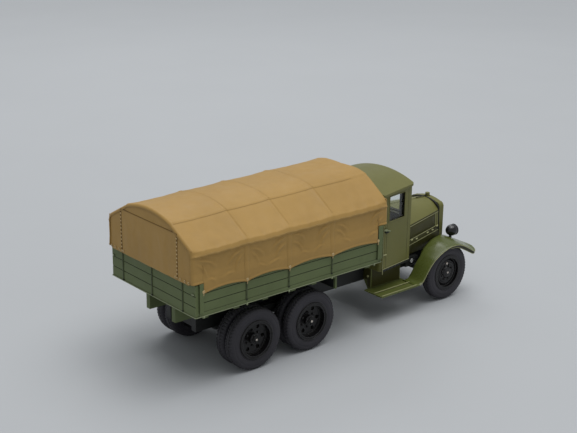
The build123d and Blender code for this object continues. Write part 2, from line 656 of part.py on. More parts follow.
def drive_line():
    """Engine with its gearbox as one block, and the propeller shafts."""
    nose_x = ENGINE_FRONT_X - ENGINE_NOSE_LENGTH
    engine_side = outline((ENGINE_REAR_X, ENGINE_BASE_Z), (nose_x, ENGINE_BASE_Z),
                          (ENGINE_FRONT_X, ENGINE_BASE_Z + ENGINE_NOSE_RISE), (ENGINE_FRONT_X, ENGINE_TOP_Z),
                          (ENGINE_REAR_X, ENGINE_TOP_Z))
    block = from_side(engine_side, -ENGINE_HALF_WIDTH, ENGINE_HALF_WIDTH)
    gearbox_side = outline((GEARBOX_REAR_X, GEARBOX_BASE_Z), (ENGINE_REAR_X, GEARBOX_BASE_Z),
                           (ENGINE_REAR_X, GEARBOX_TOP_Z), (GEARBOX_REAR_X, GEARBOX_TOP_Z - GEARBOX_TAPER))
    block += from_side(gearbox_side, -GEARBOX_HALF_WIDTH, GEARBOX_HALF_WIDTH)
    foot_reach = RAIL_OUTER_Y - RAIL_WEB
    for x in (ENGINE_REAR_X + ENGINE_FOOT_LENGTH, nose_x):
        foot = strip(x, x + ENGINE_FOOT_LENGTH, RAIL_TOP_Z, RAIL_TOP_Z + ENGINE_FOOT_THICKNESS)
        block += from_side(foot, -foot_reach, foot_reach)
    save("engine_block", block)

    bulb = Pos(MIDDLE_AXLE_X, 0, AXLE_Z) * Sphere(HOUSING_BULB_RADIUS + SEAT_PLAY)
    # start and end of each shaft: station, height
    runs = (
        ((MIDDLE_AXLE_X + PINION_LENGTH + SEAT_PLAY, AXLE_Z), (GEARBOX_REAR_X - SEAT_PLAY, GEARBOX_SHAFT_Z)),
        ((REAR_AXLE_X + PINION_LENGTH + SEAT_PLAY, AXLE_Z), (MIDDLE_AXLE_X - PINION_RADIUS, AXLE_Z)),
    )
    shafts = []
    for (x_low, z_low), (x_high, z_high) in runs:
        run = Vector(x_high - x_low, 0, z_high - z_low)
        tube = extrude(Plane((x_low, 0, z_low), z_dir=run) * Circle(SHAFT_RADIUS), run.length)
        shafts.append(tube - bulb)
    save("propeller_shafts", Part() + shafts)


def grooves(length, height):
    """Outlines of the grooves between the planks of a board of this length and height."""
    pitch = height / PLANKS
    return [strip(0, length, row * pitch - GROOVE_WIDTH / 2, row * pitch + GROOVE_WIDTH / 2)
            for row in range(1, PLANKS)]


def load_bed():
    """Floor on bearers and longerons, planked sides, tailgate and headboard."""
    outer = BED_HALF_WIDTH
    inner = BED_HALF_WIDTH - BOARD_THICKNESS
    tail_front = BOARD_THICKNESS + SEAT_PLAY
    head_rear = BED_LENGTH - BOARD_THICKNESS
    side_end = head_rear - SEAT_PLAY

    floor_edge = BED_HALF_WIDTH + SILL_PROUD
    save("bed_floor", from_end(strip(-floor_edge, floor_edge, FLOOR_BASE_Z, BOARD_BASE_Z - SEAT_PLAY),
                               tail_front, side_end))

    side = from_side(strip(tail_front, side_end, BOARD_BASE_Z, BOARD_TOP_Z), inner, outer)
    for groove in grooves(side_end - tail_front, BOARD_HEIGHT):
        side -= from_side(Pos(tail_front, BOARD_BASE_Z) * groove, outer - GROOVE_DEPTH, outer)
    side += from_side(strip(tail_front, REAR_POST_LENGTH, BOARD_BASE_Z, REAR_POST_TOP_Z),
                      inner, outer + POST_PROUD)
    for x in SIDE_STRAP_X:
        strap = strip(x - STRAP_WIDTH / 2, x + STRAP_WIDTH / 2, BOARD_BASE_Z, TILT_HEM_Z - SEAT_PLAY)
        side += from_side(strap, outer - GROOVE_DEPTH, outer + STRAP_PROUD)
    save("side_board_left", side)
    save("side_board_right", mirror(side, Plane.XZ))

    gate_height = BOARD_TOP_Z - FLOOR_BASE_Z
    gate = from_end(strip(-outer, outer, FLOOR_BASE_Z, BOARD_TOP_Z), 0, BOARD_THICKNESS)
    for groove in grooves(2 * outer, gate_height):
        gate -= from_end(Pos(-outer, FLOOR_BASE_Z) * groove, 0, GROOVE_DEPTH)
    for y in TAILGATE_STRAP_Y:
        strap = strip(y - STRAP_WIDTH / 2, y + STRAP_WIDTH / 2, FLOOR_BASE_Z, TILT_REAR_HEM_Z - SEAT_PLAY)
        gate += from_end(strap, -STRAP_PROUD, GROOVE_DEPTH)
    save("tailgate", gate)

    head = from_end(strip(-outer, outer, FLOOR_BASE_Z, FRONT_POST_TOP_Z), head_rear, BED_LENGTH)
    for groove in grooves(2 * outer, gate_height):
        head -= from_end(Pos(-outer, FLOOR_BASE_Z) * groove, BED_LENGTH - GROOVE_DEPTH, BED_LENGTH)
    post = from_side(strip(BED_LENGTH - FRONT_POST_LENGTH, BED_LENGTH, BOARD_BASE_Z, FRONT_POST_TOP_Z),
                     outer + SEAT_PLAY, outer + POST_PROUD)
    tie = from_side(strip(head_rear, BED_LENGTH, BOARD_BASE_Z, FRONT_POST_TOP_Z),
                    outer - GROOVE_DEPTH, outer + POST_PROUD)
    save("headboard", head + both_sides(post + tie))

    spread = MUD_BEARER_X - REAR_BEARER_X
    stations = [REAR_BEARER_X + share * spread for share in (0, 0.227, 0.446, 0.666, 0.836)]
    stations += [MUD_BEARER_X, FRONT_BEARER_X]
    half = BEARER_WIDTH / 2
    bearers = [from_side(strip(x - half, x + half, LONGERON_TOP_Z, FLOOR_BASE_Z),
                         -BEARER_HALF_LENGTH, BEARER_HALF_LENGTH) for x in stations]
    save("cross_bearers", Part() + bearers)
    longeron = from_side(strip(LONGERON_REAR_X, head_rear, RAIL_TOP_Z, LONGERON_TOP_Z),
                         LONGERON_OUTER_Y - LONGERON_WIDTH, LONGERON_OUTER_Y)
    save("longerons", both_sides(longeron))

    mud_x = MUD_BEARER_X + half
    mud = from_side(strip(mud_x, mud_x + MUD_BOARD_THICKNESS, FLOOR_BASE_Z - MUD_BOARD_DROP, FLOOR_BASE_Z),
                    MUD_BOARD_INNER_Y, MUD_BOARD_OUTER_Y)
    save("mud_boards", both_sides(mud))


def tilt_section(half_width, drop, lip, lift):
    """Arched section of the tilt; drop lowers its roof, lift raises its shoulders, lip is its eave's."""
    eave = TILT_EAVE_Z - drop
    eave_y = half_width + lip
    upper = (eave_y - TILT_EAVE_LEAN, eave + TILT_EAVE_ROUND)
    shoulder = TILT_SHOULDER_Z + lift - drop
    lip_base = eave - TILT_LIP_HEIGHT
    side = [(half_width, TILT_HEM_Z), (half_width, lip_base - TILT_LIP_PROUD), (eave_y, lip_base),
            (eave_y, eave), upper, (TILT_SHOULDER_Y, shoulder)]
    return make_face([
        Polyline(*[(-y, z) for y, z in reversed(side)], *side),
        ThreePointArc((TILT_SHOULDER_Y, shoulder), (0, TILT_CREST_Z - drop), (-TILT_SHOULDER_Y, shoulder)),
    ])


def scallop(x_low, x_high):
    """Bow of the hem between two ties, drawn in X and Z."""
    middle = ((x_low + x_high) / 2, TILT_HEM_Z + TILT_HEM_SCALLOP)
    return make_face([ThreePointArc((x_low, TILT_HEM_Z), middle, (x_high, TILT_HEM_Z)),
                      Line((x_high, TILT_HEM_Z), (x_low, TILT_HEM_Z))])


def tilt():
    """Moulded canvas cover: hoop ridges with sagging panels between, hung outside the boards."""
    rear = -TILT_REAR_OVERHANG
    front = BED_LENGTH + TILT_FRONT_OVERHANG
    hoops = (rear + TILT_END_ROUND, *SIDE_STRAP_X, front - TILT_END_ROUND)
    # station, inset of the width, drop of the roof
    stations = [(rear, TILT_END_ROUND / 2, TILT_END_ROUND)]
    for index, x in enumerate(hoops):
        stations.append((x, 0, 0))
        if index + 1 < len(hoops):
            stations.append(((x + hoops[index + 1]) / 2, 0, TILT_SAG))
    stations.append((front, TILT_END_ROUND / 2, TILT_END_ROUND))

    def lift(x):
        return TILT_SHOULDER_LIFT * (x - rear) / (front - rear)

    outer = loft([end_section(tilt_section(TILT_HALF_WIDTH - inset, drop, TILT_LIP_PROUD, lift(x)), x)
                  for x, inset, drop in stations], ruled=True)
    inside = [(rear + TILT_WALL, TILT_END_ROUND)] + [(x, d) for x, _, d in stations[1:-1]]
    inside.append((front - TILT_WALL, TILT_END_ROUND))
    inner = loft([end_section(tilt_section(TILT_HALF_WIDTH - TILT_WALL, drop + TILT_WALL, 0, lift(x)), x)
                  for x, drop in inside], ruled=True)
    shell = outer - inner
    wide = TILT_HALF_WIDTH + CUT_OVERSHOOT
    shell -= from_end(strip(-wide, wide, TILT_HEM_Z, TILT_REAR_HEM_Z), rear, rear + 2 * TILT_WALL)
    rear_tie = REAR_POST_LENGTH + SEAT_PLAY
    rear_notch = strip(BED_HALF_WIDTH - BOARD_THICKNESS, wide, TILT_HEM_Z, REAR_POST_TOP_Z + SEAT_PLAY)
    shell -= both_sides(from_end(rear_notch, rear, rear_tie))
    front_tie = BED_LENGTH - FRONT_POST_LENGTH - SEAT_PLAY
    front_notch = strip(-wide, wide, TILT_HEM_Z, FRONT_POST_TOP_Z + SEAT_PLAY)
    shell -= from_end(front_notch, front_tie, front)
    ties = [rear_tie, *SIDE_STRAP_X, front_tie]
    half_tie = STRAP_WIDTH / 2
    for x_low, x_high in zip(ties, ties[1:]):
        shell -= from_side(scallop(x_low + half_tie, x_high - half_tie), -wide, wide)
    save("tilt", shell)


def roof_arc(radius, half_width):
    """Points of the roof's arch of one radius: left edge, crest and right edge."""
    centre = ROOF_CREST_Z - ROOF_RADIUS
    edge = centre + math.sqrt(radius ** 2 - half_width ** 2)
    return (half_width, edge), (0, centre + radius), (-half_width, edge)


def roof_band(top_radius, base_radius):
    """Arched band between two radii along the whole cab, wider than its roof."""
    half_width = ROOF_EAVE_Y + CAB_GAP
    top = roof_arc(top_radius, half_width)
    base = roof_arc(base_radius, half_width)
    face = make_face([ThreePointArc(*top), Line(top[2], base[2]),
                      ThreePointArc(*reversed(base)), Line(base[0], top[0])])
    return from_end(face, CAB_REAR_X - CAB_GAP, CAB_FRONT_X + CAB_GAP)


def cab_plan(grow):
    """Plan of the cab, narrower in front, grown or shrunk on all sides."""
    plan = outline((CAB_REAR_X, -CAB_REAR_HALF_WIDTH), (CAB_FRONT_X, -CAB_FRONT_HALF_WIDTH),
                   (CAB_FRONT_X, CAB_FRONT_HALF_WIDTH), (CAB_REAR_X, CAB_REAR_HALF_WIDTH))
    if grow:
        plan = offset(plan, grow, kind=Kind.INTERSECTION)
    rear_corners = plan.vertices().group_by(Axis.X)[0]
    return fillet(rear_corners, CAB_CORNER_RADIUS + grow)


def cab_shell():
    """Hollow cab split at its doors, with glass in its windows and a roof over it."""
    high = ROOF_CREST_Z + CUT_OVERSHOOT
    wide = ROOF_EAVE_Y + CUT_OVERSHOOT
    rear = CAB_REAR_X - CUT_OVERSHOOT
    front = CAB_FRONT_X + CUT_OVERSHOOT
    under_roof = ROOF_RADIUS - ROOF_THICKNESS
    walls = from_above(cab_plan(0), CAB_BASE_Z, high) - from_above(cab_plan(-CAB_WALL), CAB_BASE_Z, high)
    walls -= roof_band(ROOF_RADIUS + CAB_GAP, under_roof - SEAT_PLAY)
    rail_room = RAIL_OUTER_Y + PANEL_GAP
    walls -= from_end(strip(-rail_room, rail_room, CAB_BASE_Z, RAIL_TOP_Z + SEAT_PLAY), rear, front)
    door_window = strip(DOOR_WINDOW_REAR_X, DOOR_WINDOW_FRONT_X, WINDOW_BASE_Z, WINDOW_TOP_Z)
    screen = strip(-WINDSCREEN_HALF_WIDTH, WINDSCREEN_HALF_WIDTH, WINDOW_BASE_Z, WINDOW_TOP_Z)
    rear_window = strip(-REAR_WINDOW_HALF_WIDTH, REAR_WINDOW_HALF_WIDTH, REAR_WINDOW_BASE_Z, WINDOW_TOP_Z)
    cuts = [
        from_side(door_window, -wide, wide),
        from_end(screen, CAB_FRONT_X - 2 * CAB_WALL, front),
        from_end(rear_window, rear, CAB_REAR_X + 2 * CAB_WALL),
    ]
    panes = from_above(cab_plan(-GLASS_DEPTH), WINDOW_BASE_Z, high)
    panes -= from_above(cab_plan(-GLASS_DEPTH - GLASS_THICKNESS), WINDOW_BASE_Z, high)
    save("cab_glass", Part() + [panes & cut for cut in cuts])

    for cut in cuts:
        walls -= cut
    door_way = from_side(strip(DOOR_REAR_X, DOOR_FRONT_X, DOOR_BASE_Z, high), -wide, wide)
    door_leaf = from_side(strip(DOOR_REAR_X + PANEL_GAP, DOOR_FRONT_X - PANEL_GAP,
                                DOOR_BASE_Z + PANEL_GAP, high), 0, wide)
    fixed = walls - door_way
    middle_x = (DOOR_REAR_X + DOOR_FRONT_X) / 2
    back_half = from_side(strip(rear, middle_x, CAB_BASE_Z, high), -wide, wide)
    save("cab_back", fixed & back_half)
    save("cab_front", fixed - back_half)
    door = walls & door_leaf
    save("door_left", door)
    save("door_right", mirror(door, Plane.XZ))

    eave_front_y = CAB_FRONT_HALF_WIDTH + ROOF_OVERHANG
    eave_rear_x = CAB_REAR_X - ROOF_OVERHANG
    visor_x = CAB_FRONT_X + ROOF_VISOR
    roof_plan = outline((eave_rear_x, -ROOF_EAVE_Y), (visor_x, -eave_front_y),
                        (visor_x, eave_front_y), (eave_rear_x, ROOF_EAVE_Y))
    roof_plan = fillet(roof_plan.vertices(), ROOF_CORNER_RADIUS)
    save("cab_roof", roof_band(ROOF_RADIUS, under_roof) & from_above(roof_plan, WINDOW_BASE_Z, high))


def cab_fittings():
    """Floor, seat, dashboard and steering wheel."""
    floor_top = RAIL_TOP_Z + CAB_FLOOR_THICKNESS
    save("cab_floor", from_above(cab_plan(-CAB_WALL - SEAT_PLAY), RAIL_TOP_Z, floor_top))

    rear = CAB_REAR_X + CAB_WALL + SEAT_PLAY
    base = floor_top + SEAT_PLAY
    front = rear + SEAT_DEPTH
    seat_side = outline((rear, base), (front - SEAT_NOSE, base), (front, SEAT_CUSHION_Z - SEAT_CUSHION_DEPTH),
                        (front, SEAT_CUSHION_Z), (rear + SEAT_BACK_DEPTH, SEAT_CUSHION_Z - SEAT_NOSE),
                        (rear + 0.6 * SEAT_BACK_DEPTH, SEAT_BACK_Z), (rear, SEAT_BACK_Z))
    save("seat", from_side(seat_side, -SEAT_HALF_WIDTH, SEAT_HALF_WIDTH))

    dash_front = CAB_FRONT_X - CAB_WALL - SEAT_PLAY
    dash_side = outline((dash_front, DASH_BASE_Z), (dash_front, DASH_TOP_Z),
                        (dash_front - DASH_DEPTH, DASH_TOP_Z), (dash_front - 0.6 * DASH_DEPTH, DASH_BASE_Z))
    save("dashboard", from_side(dash_side, -DASH_HALF_WIDTH, DASH_HALF_WIDTH))

    foot_z = floor_top + COLUMN_RADIUS
    run = Vector(STEERING_HUB_X - STEERING_FOOT_X, 0, STEERING_HUB_Z - foot_z)
    lean = Plane((STEERING_FOOT_X, STEERING_Y, foot_z), x_dir=(0, 1, 0), z_dir=run)
    column = extrude(lean * Circle(COLUMN_RADIUS), run.length)
    under_floor = strip(CAB_REAR_X, CAB_FRONT_X, 0, CAB_REAR_HALF_WIDTH)
    column -= from_above(under_floor, RAIL_TOP_Z, floor_top + SEAT_PLAY)
    hub = lean.offset(run.length)
    spoke = Box(2 * STEERING_WHEEL_RADIUS, STEERING_RIM_RADIUS, STEERING_RIM_RADIUS)
    ring = Torus(STEERING_WHEEL_RADIUS, STEERING_RIM_RADIUS)
    save("steering_wheel", column + hub * ring + hub * spoke + hub * (Rot(0, 0, 90) * spoke))


# Bonnet and apron at the cab and at the radiator: station, half widths at the apron's foot, the
# bonnet's base and its crease, and heights of the crease and the crest
BONNET_ENDS = (
    {
        "x": CAB_FRONT_X + SEAT_PLAY,
        "foot": CAB_FRONT_HALF_WIDTH - BONNET_REAR_FOOT_INSET,
        "base": CAB_FRONT_HALF_WIDTH - BONNET_REAR_BASE_INSET,
        "crease": CAB_FRONT_HALF_WIDTH - BONNET_REAR_CREASE_INSET,
        "crease_z": BONNET_BASE_Z + BONNET_REAR_CREASE_RISE,
        "crest_z": BONNET_BASE_Z + BONNET_REAR_CREST_RISE,
    },
    {
        "x": BONNET_FRONT_X,
        "foot": RADIATOR_HALF_WIDTH + BONNET_FRONT_FOOT_PROUD,
        "base": RADIATOR_HALF_WIDTH,
        "crease": RADIATOR_HALF_WIDTH - BONNET_FRONT_CREASE_INSET,
        "crease_z": BONNET_BASE_Z + BONNET_FRONT_CREASE_RISE,
        "crest_z": BONNET_BASE_Z + BONNET_FRONT_CREST_RISE,
    },
)


def bonnet_section(end, wall):
    """Bonnet section at one end, shrunk by the wall."""
    base = end["base"] - wall
    crease = end["crease"] - wall
    crease_z = end["crease_z"] - wall / 2
    return end_section(make_face([
        Polyline((-crease, crease_z), (-base, BONNET_BASE_Z), (base, BONNET_BASE_Z), (crease, crease_z)),
        ThreePointArc((crease, crease_z), (0, end["crest_z"] - wall), (-crease, crease_z)),
    ]), end["x"])


def apron_section(end):
    """Left apron at one end, from the frame up to the bonnet."""
    low = RAIL_TOP_Z + SEAT_PLAY
    high = BONNET_BASE_Z - SEAT_PLAY
    return end_section(outline((end["foot"] - BONNET_WALL, low), (end["foot"], low),
                               (end["base"], high), (end["base"] - BONNET_WALL, high)), end["x"])


def engine_bay():
    """Space that the fenders keep out of: what lies between the aprons and the bonnet's sides."""
    sections = []
    for end in BONNET_ENDS:
        side = [(end["foot"] + SEAT_PLAY, RAIL_TOP_Z), (end["base"] + SEAT_PLAY, BONNET_BASE_Z),
                (end["crease"] + SEAT_PLAY, end["crease_z"])]
        sections.append(end_section(outline(*side, *[(-y, z) for y, z in reversed(side)]), end["x"]))
    return loft(sections, ruled=True)


def radiator_face(inset, base_z):
    """Front of the radiator with its rounded shoulders, shrunk by inset."""
    half = RADIATOR_HALF_WIDTH - inset
    shoulder = RADIATOR_SHOULDER_Z - inset
    round_y = half - RADIATOR_ROUND_Y
    round_z = shoulder + RADIATOR_ROUND_Z
    turn = math.sqrt(0.5)
    mid_y = round_y + turn * RADIATOR_ROUND_Y
    mid_z = shoulder + turn * RADIATOR_ROUND_Z
    return make_face([
        Polyline((-half, shoulder), (-half, base_z), (half, base_z), (half, shoulder)),
        ThreePointArc((half, shoulder), (mid_y, mid_z), (round_y, round_z)),
        ThreePointArc((round_y, round_z), (0, RADIATOR_TOP_Z - inset), (-round_y, round_z)),
        ThreePointArc((-round_y, round_z), (-mid_y, mid_z), (-half, shoulder)),
    ])


def front_end():
    """Bonnet, aprons and radiator."""
    bonnet = loft([bonnet_section(end, 0) for end in BONNET_ENDS], ruled=True)
    bonnet -= loft([bonnet_section(end, BONNET_WALL) for end in BONNET_ENDS], ruled=True)
    save("bonnet", bonnet)
    save("engine_aprons", both_sides(loft([apron_section(end) for end in BONNET_ENDS], ruled=True)))

    rear = BONNET_FRONT_X + SEAT_PLAY
    base = RAIL_TOP_Z + SEAT_PLAY
    window_base = base + RADIATOR_SILL
    shell = from_end(radiator_face(0, base), rear, RADIATOR_FRONT_X)
    shell -= from_end(radiator_face(RADIATOR_FRAME, window_base), rear, RADIATOR_FRONT_X)
    save("radiator_shell", shell)

    core_front = RADIATOR_FRONT_X - RADIATOR_CORE_INSET
    core = from_end(radiator_face(RADIATOR_FRAME + SEAT_PLAY, window_base + SEAT_PLAY),
                    core_front - RADIATOR_CORE_DEPTH, core_front)
    half = RADIATOR_HALF_WIDTH - RADIATOR_FRAME
    pitch = 2 * half / (CORE_GROOVES + 1)
    for index in range(1, CORE_GROOVES + 1):
        y = index * pitch - half
        groove = strip(y - CORE_GROOVE_WIDTH / 2, y + CORE_GROOVE_WIDTH / 2, base, RADIATOR_TOP_Z)
        core -= from_end(groove, core_front - CORE_GROOVE_DEPTH, core_front)
    save("radiator_core", core)
    cap_x = (BONNET_FRONT_X + RADIATOR_FRONT_X) / 2
    cap = Cylinder(CAP_RADIUS, CAP_HEIGHT, align=(Align.CENTER, Align.CENTER, Align.MIN))
    save("radiator_cap", Pos(cap_x, 0, RADIATOR_TOP_Z + SEAT_PLAY) * cap)


def lamps():
    """Bullet headlamps on stems, with a domed lens let into each."""
    half = LAMP_LENGTH / 2
    rim_x = half - LAMP_RIM_LENGTH
    seat_x = half - LENS_SEAT_DEPTH
    seat_r = LAMP_RADIUS - LAMP_RIM_WALL
    bowl = make_face([
        Line((-half, 0), (seat_x, 0)),
        Polyline((seat_x, 0), (seat_x, seat_r), (half, seat_r), (half, LAMP_RADIUS), (rim_x, LAMP_RADIUS)),
        ThreePointArc((rim_x, LAMP_RADIUS), (-0.5 * half, 0.78 * LAMP_RADIUS), (-half, 0)),
    ])
    lamp_z = fender_height(LAMP_X) + LAMP_RISE
    stem_foot = fender_height(LAMP_X - LAMP_STEM_RADIUS) + SEAT_PLAY
    stem = Cylinder(LAMP_STEM_RADIUS, lamp_z - stem_foot, align=(Align.CENTER, Align.CENTER, Align.MAX))
    stem -= Pos(half, 0, 0) * Box(2 * LENS_SEAT_DEPTH, 2 * LAMP_RADIUS, 2 * LAMP_RADIUS)
    place = Pos(LAMP_X, LAMP_Y, lamp_z)
    save("headlamps", both_sides(place * (revolve(bowl, Axis.X) + stem)))

    back_x = seat_x + SEAT_PLAY
    lens_r = seat_r - SEAT_PLAY
    edge_x = back_x + LENS_SEAT_DEPTH / 2
    top_x = edge_x + LENS_DOME
    lens = make_face([
        Polyline((top_x, LENS_FLAT_RADIUS), (top_x, 0), (back_x, 0), (back_x, lens_r), (edge_x, lens_r)),
        ThreePointArc((edge_x, lens_r), (edge_x + 0.75 * LENS_DOME, lens_r / 2), (top_x, LENS_FLAT_RADIUS)),
    ])
    save("headlamp_lenses", both_sides(place * revolve(lens, Axis.X)))


def fender_turn(angle):
    """Point of the fender's crest at an angle forward of the top."""
    turn = math.radians(angle)
    return (FRONT_AXLE_X + FENDER_RADIUS * math.sin(turn), FENDER_HUB_Z + FENDER_RADIUS * math.cos(turn))


def fender_height(x):
    """Height of the fender's crest at a station on its straight nose."""
    nose_x, nose_z = fender_turn(FENDER_FRONT_SWEEP)
    return nose_z - (x - nose_x) * math.tan(math.radians(FENDER_FRONT_SWEEP))


def fender_foot():
    """Start of the fender's crest line: the station where it lies level with the running board."""
    slope = math.radians(FENDER_REAR_SWEEP)
    rear_x, rear_z = fender_turn(-FENDER_REAR_SWEEP)
    drop = rear_z - BOARD_STEP_Z - FENDER_FLARE_RADIUS * (1 - math.cos(slope))
    flare_x = rear_x - drop / math.tan(slope)
    return flare_x - FENDER_FLARE_RADIUS * math.sin(slope)


def fender_crest():
    """Crest line of the fender: flare at the running board, rise, arch over the wheel, nose."""
    slope = math.radians(FENDER_REAR_SWEEP)
    rear_x, rear_z = fender_turn(-FENDER_REAR_SWEEP)
    top_x, top_z = fender_turn(0)
    nose_x, nose_z = fender_turn(FENDER_FRONT_SWEEP)
    foot_x = fender_foot()
    flare_z = BOARD_STEP_Z + FENDER_FLARE_RADIUS

    def flare(turn):
        return (foot_x + FENDER_FLARE_RADIUS * math.sin(turn), 0,
                flare_z - FENDER_FLARE_RADIUS * math.cos(turn))

    return Wire([
        ThreePointArc(flare(0), flare(slope / 2), flare(slope)),
        Line(flare(slope), (rear_x, 0, rear_z)),
        ThreePointArc((rear_x, 0, rear_z), (top_x, 0, top_z), (nose_x, 0, nose_z)),
        Line((nose_x, 0, nose_z), (FENDER_TIP_X, 0, fender_height(FENDER_TIP_X))),
    ])


def fender():
    """Left fender: one crowned section led along the crest line over the wheel."""
    foot_x = fender_foot()
    crown_y = (FENDER_INNER_Y + FENDER_OUTER_Y) / 2 - FENDER_CROWN_INSET
    inner = (FENDER_INNER_Y, -FENDER_INNER_DROP)
    outer = (FENDER_OUTER_Y, -FENDER_CROWN)
    inner_low = (FENDER_INNER_Y, -FENDER_INNER_DROP - FENDER_WALL)
    outer_low = (FENDER_OUTER_Y, -FENDER_CROWN - FENDER_WALL)
    section = make_face([
        ThreePointArc(inner, (crown_y, 0), outer),
        Line(outer, outer_low),
        ThreePointArc(outer_low, (crown_y, -FENDER_WALL), inner_low),
        Line(inner_low, inner),
    ])
    swept = sweep(end_section(section, foot_x, BOARD_STEP_Z), path=fender_crest())
    plan = strip(foot_x, FENDER_TIP_X, FENDER_INNER_Y, FENDER_OUTER_Y)
    plan = fillet(plan.vertices().group_by(Axis.X)[-1], FENDER_TIP_ROUND)
    heel_y = FENDER_INNER_Y + FENDER_HEEL_INSET
    heel = strip(foot_x - CUT_OVERSHOOT, FRONT_AXLE_X, FENDER_INNER_Y - CUT_OVERSHOOT, heel_y)
    shell = (swept & from_above(plan, 0, RADIATOR_TOP_Z)) - engine_bay()
    return shell - from_above(heel, 0, RAIL_TOP_Z)


def fenders_and_steps():
    """Front fenders, running boards with their aprons and brackets."""
    wing = fender()
    save("fender_left", wing)
    save("fender_right", mirror(wing, Plane.XZ))

    front_x = fender_foot() - SEAT_PLAY
    low = BOARD_STEP_Z - STEP_THICKNESS
    step = from_end(strip(STEP_INNER_Y, FENDER_OUTER_Y, low, BOARD_STEP_Z - STEP_RIDGE), STEP_REAR_X, front_x)
    for y in ((STEP_INNER_Y + FENDER_OUTER_Y) / 2, FENDER_OUTER_Y - STEP_RIDGE_WIDTH):
        step += from_end(strip(y, y + STEP_RIDGE_WIDTH, low, BOARD_STEP_Z), STEP_REAR_X, front_x)
    apron_y = STEP_INNER_Y + STEP_APRON
    apron_top = CAB_BASE_Z - SEAT_PLAY
    apron_front = front_x - STEP_APRON_SETBACK
    step += from_end(strip(STEP_INNER_Y, apron_y, low, apron_top), CAB_REAR_X, apron_front)
    rail_face = RAIL_OUTER_Y + PANEL_GAP
    gusset = outline((rail_face, apron_top), (apron_y, apron_top), (apron_y, low),
                     (STEP_INNER_Y - STEP_GUSSET_FOOT, low), (rail_face, RAIL_BOTTOM_Z + RAIL_WEB))
    step += from_end(gusset, CAB_REAR_X, CAB_REAR_X + STEP_APRON)
    save("running_board_left", step)
    save("running_board_right", mirror(step, Plane.XZ))

    arm_top = low - SEAT_PLAY
    arm_low = arm_top - STEP_BRACKET_THICKNESS
    leg = RAIL_OUTER_Y + STEP_BRACKET_THICKNESS
    leg_top = RAIL_TOP_Z - STEP_BRACKET_DROP
    tip = FENDER_OUTER_Y - STEP_BRACKET_TIP
    bracket = outline((RAIL_OUTER_Y, leg_top), (RAIL_OUTER_Y, arm_low), (tip, arm_low),
                      (tip, arm_top), (leg, arm_top), (leg, leg_top))
    half = STEP_BRACKET_WIDTH / 2
    brackets = [from_end(bracket, x - half, x + half)
                for x in (STEP_REAR_X + STEP_BRACKET_INSET, front_x - STEP_BRACKET_INSET)]
    save("step_brackets", both_sides(Part() + brackets))


os.makedirs("parts", exist_ok=True)
wheelsets()
bogie()
front_axle()
frame()
drive_line()
load_bed()
tilt()
cab_shell()
cab_fittings()
front_end()
lamps()
fenders_and_steps()
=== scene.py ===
"""Looks of a three-axle cargo truck model: finishes, fine moulded pieces, studio and camera."""

import json
import logging
import math
import random
from dataclasses import dataclass
from enum import Enum

import bmesh
import bpy
import numpy as np
from mathutils import Matrix, Quaternion, Vector
from mathutils.bvhtree import BVHTree


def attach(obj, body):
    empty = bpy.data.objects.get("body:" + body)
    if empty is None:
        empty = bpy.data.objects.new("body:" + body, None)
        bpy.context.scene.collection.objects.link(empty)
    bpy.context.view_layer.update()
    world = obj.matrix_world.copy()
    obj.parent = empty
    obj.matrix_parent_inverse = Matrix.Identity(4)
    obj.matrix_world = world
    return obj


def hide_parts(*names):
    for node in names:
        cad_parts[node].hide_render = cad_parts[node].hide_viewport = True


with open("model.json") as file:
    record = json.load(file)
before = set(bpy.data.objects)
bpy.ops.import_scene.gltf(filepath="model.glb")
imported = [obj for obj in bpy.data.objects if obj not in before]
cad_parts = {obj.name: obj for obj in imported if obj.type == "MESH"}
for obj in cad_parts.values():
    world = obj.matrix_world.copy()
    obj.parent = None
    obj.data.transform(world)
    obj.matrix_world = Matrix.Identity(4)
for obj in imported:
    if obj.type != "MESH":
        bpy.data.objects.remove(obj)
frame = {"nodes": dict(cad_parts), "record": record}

LOG = logging.getLogger("truck")
MM = 0.001
TAILGATE_X = 76.85

Colour = tuple[float, float, float]
Triple = tuple[float, float, float]
Pair = tuple[float, float]


class Body(str, Enum):
    """The bodies that pieces move with."""

    TRUCK = "truck"
    FRONT = "front_wheelset"
    MIDDLE = "middle_wheelset"
    REAR = "rear_wheelset"


class Slot(str, Enum):
    """The record's material slots."""

    TILT = "tilt_canvas"
    BED = "bed_green"
    CAB = "cab_green"
    CHASSIS = "chassis_black"
    WHEEL = "wheel_black"
    TYRE = "tyre_black"
    STEEL = "steel"
    CLEAR = "clear"
    SEAT = "seat_brown"
    LAMP = "lamp_black"
    CORE = "core_black"


class Side(float, Enum):
    """Left is +y, right is -y."""

    LEFT = 1.0
    RIGHT = -1.0


def at(x: float, y: float, z: float) -> Vector:
    """Place a point that was measured on the truck.

    Args:
        x: Millimetres forward of the tailgate.
        y: Millimetres to the left of the middle.
        z: Millimetres above the ground.

    Returns:
        The point in the part's frame, in metres.
    """
    return Vector(((x - TAILGATE_X) * MM, y * MM, z * MM))


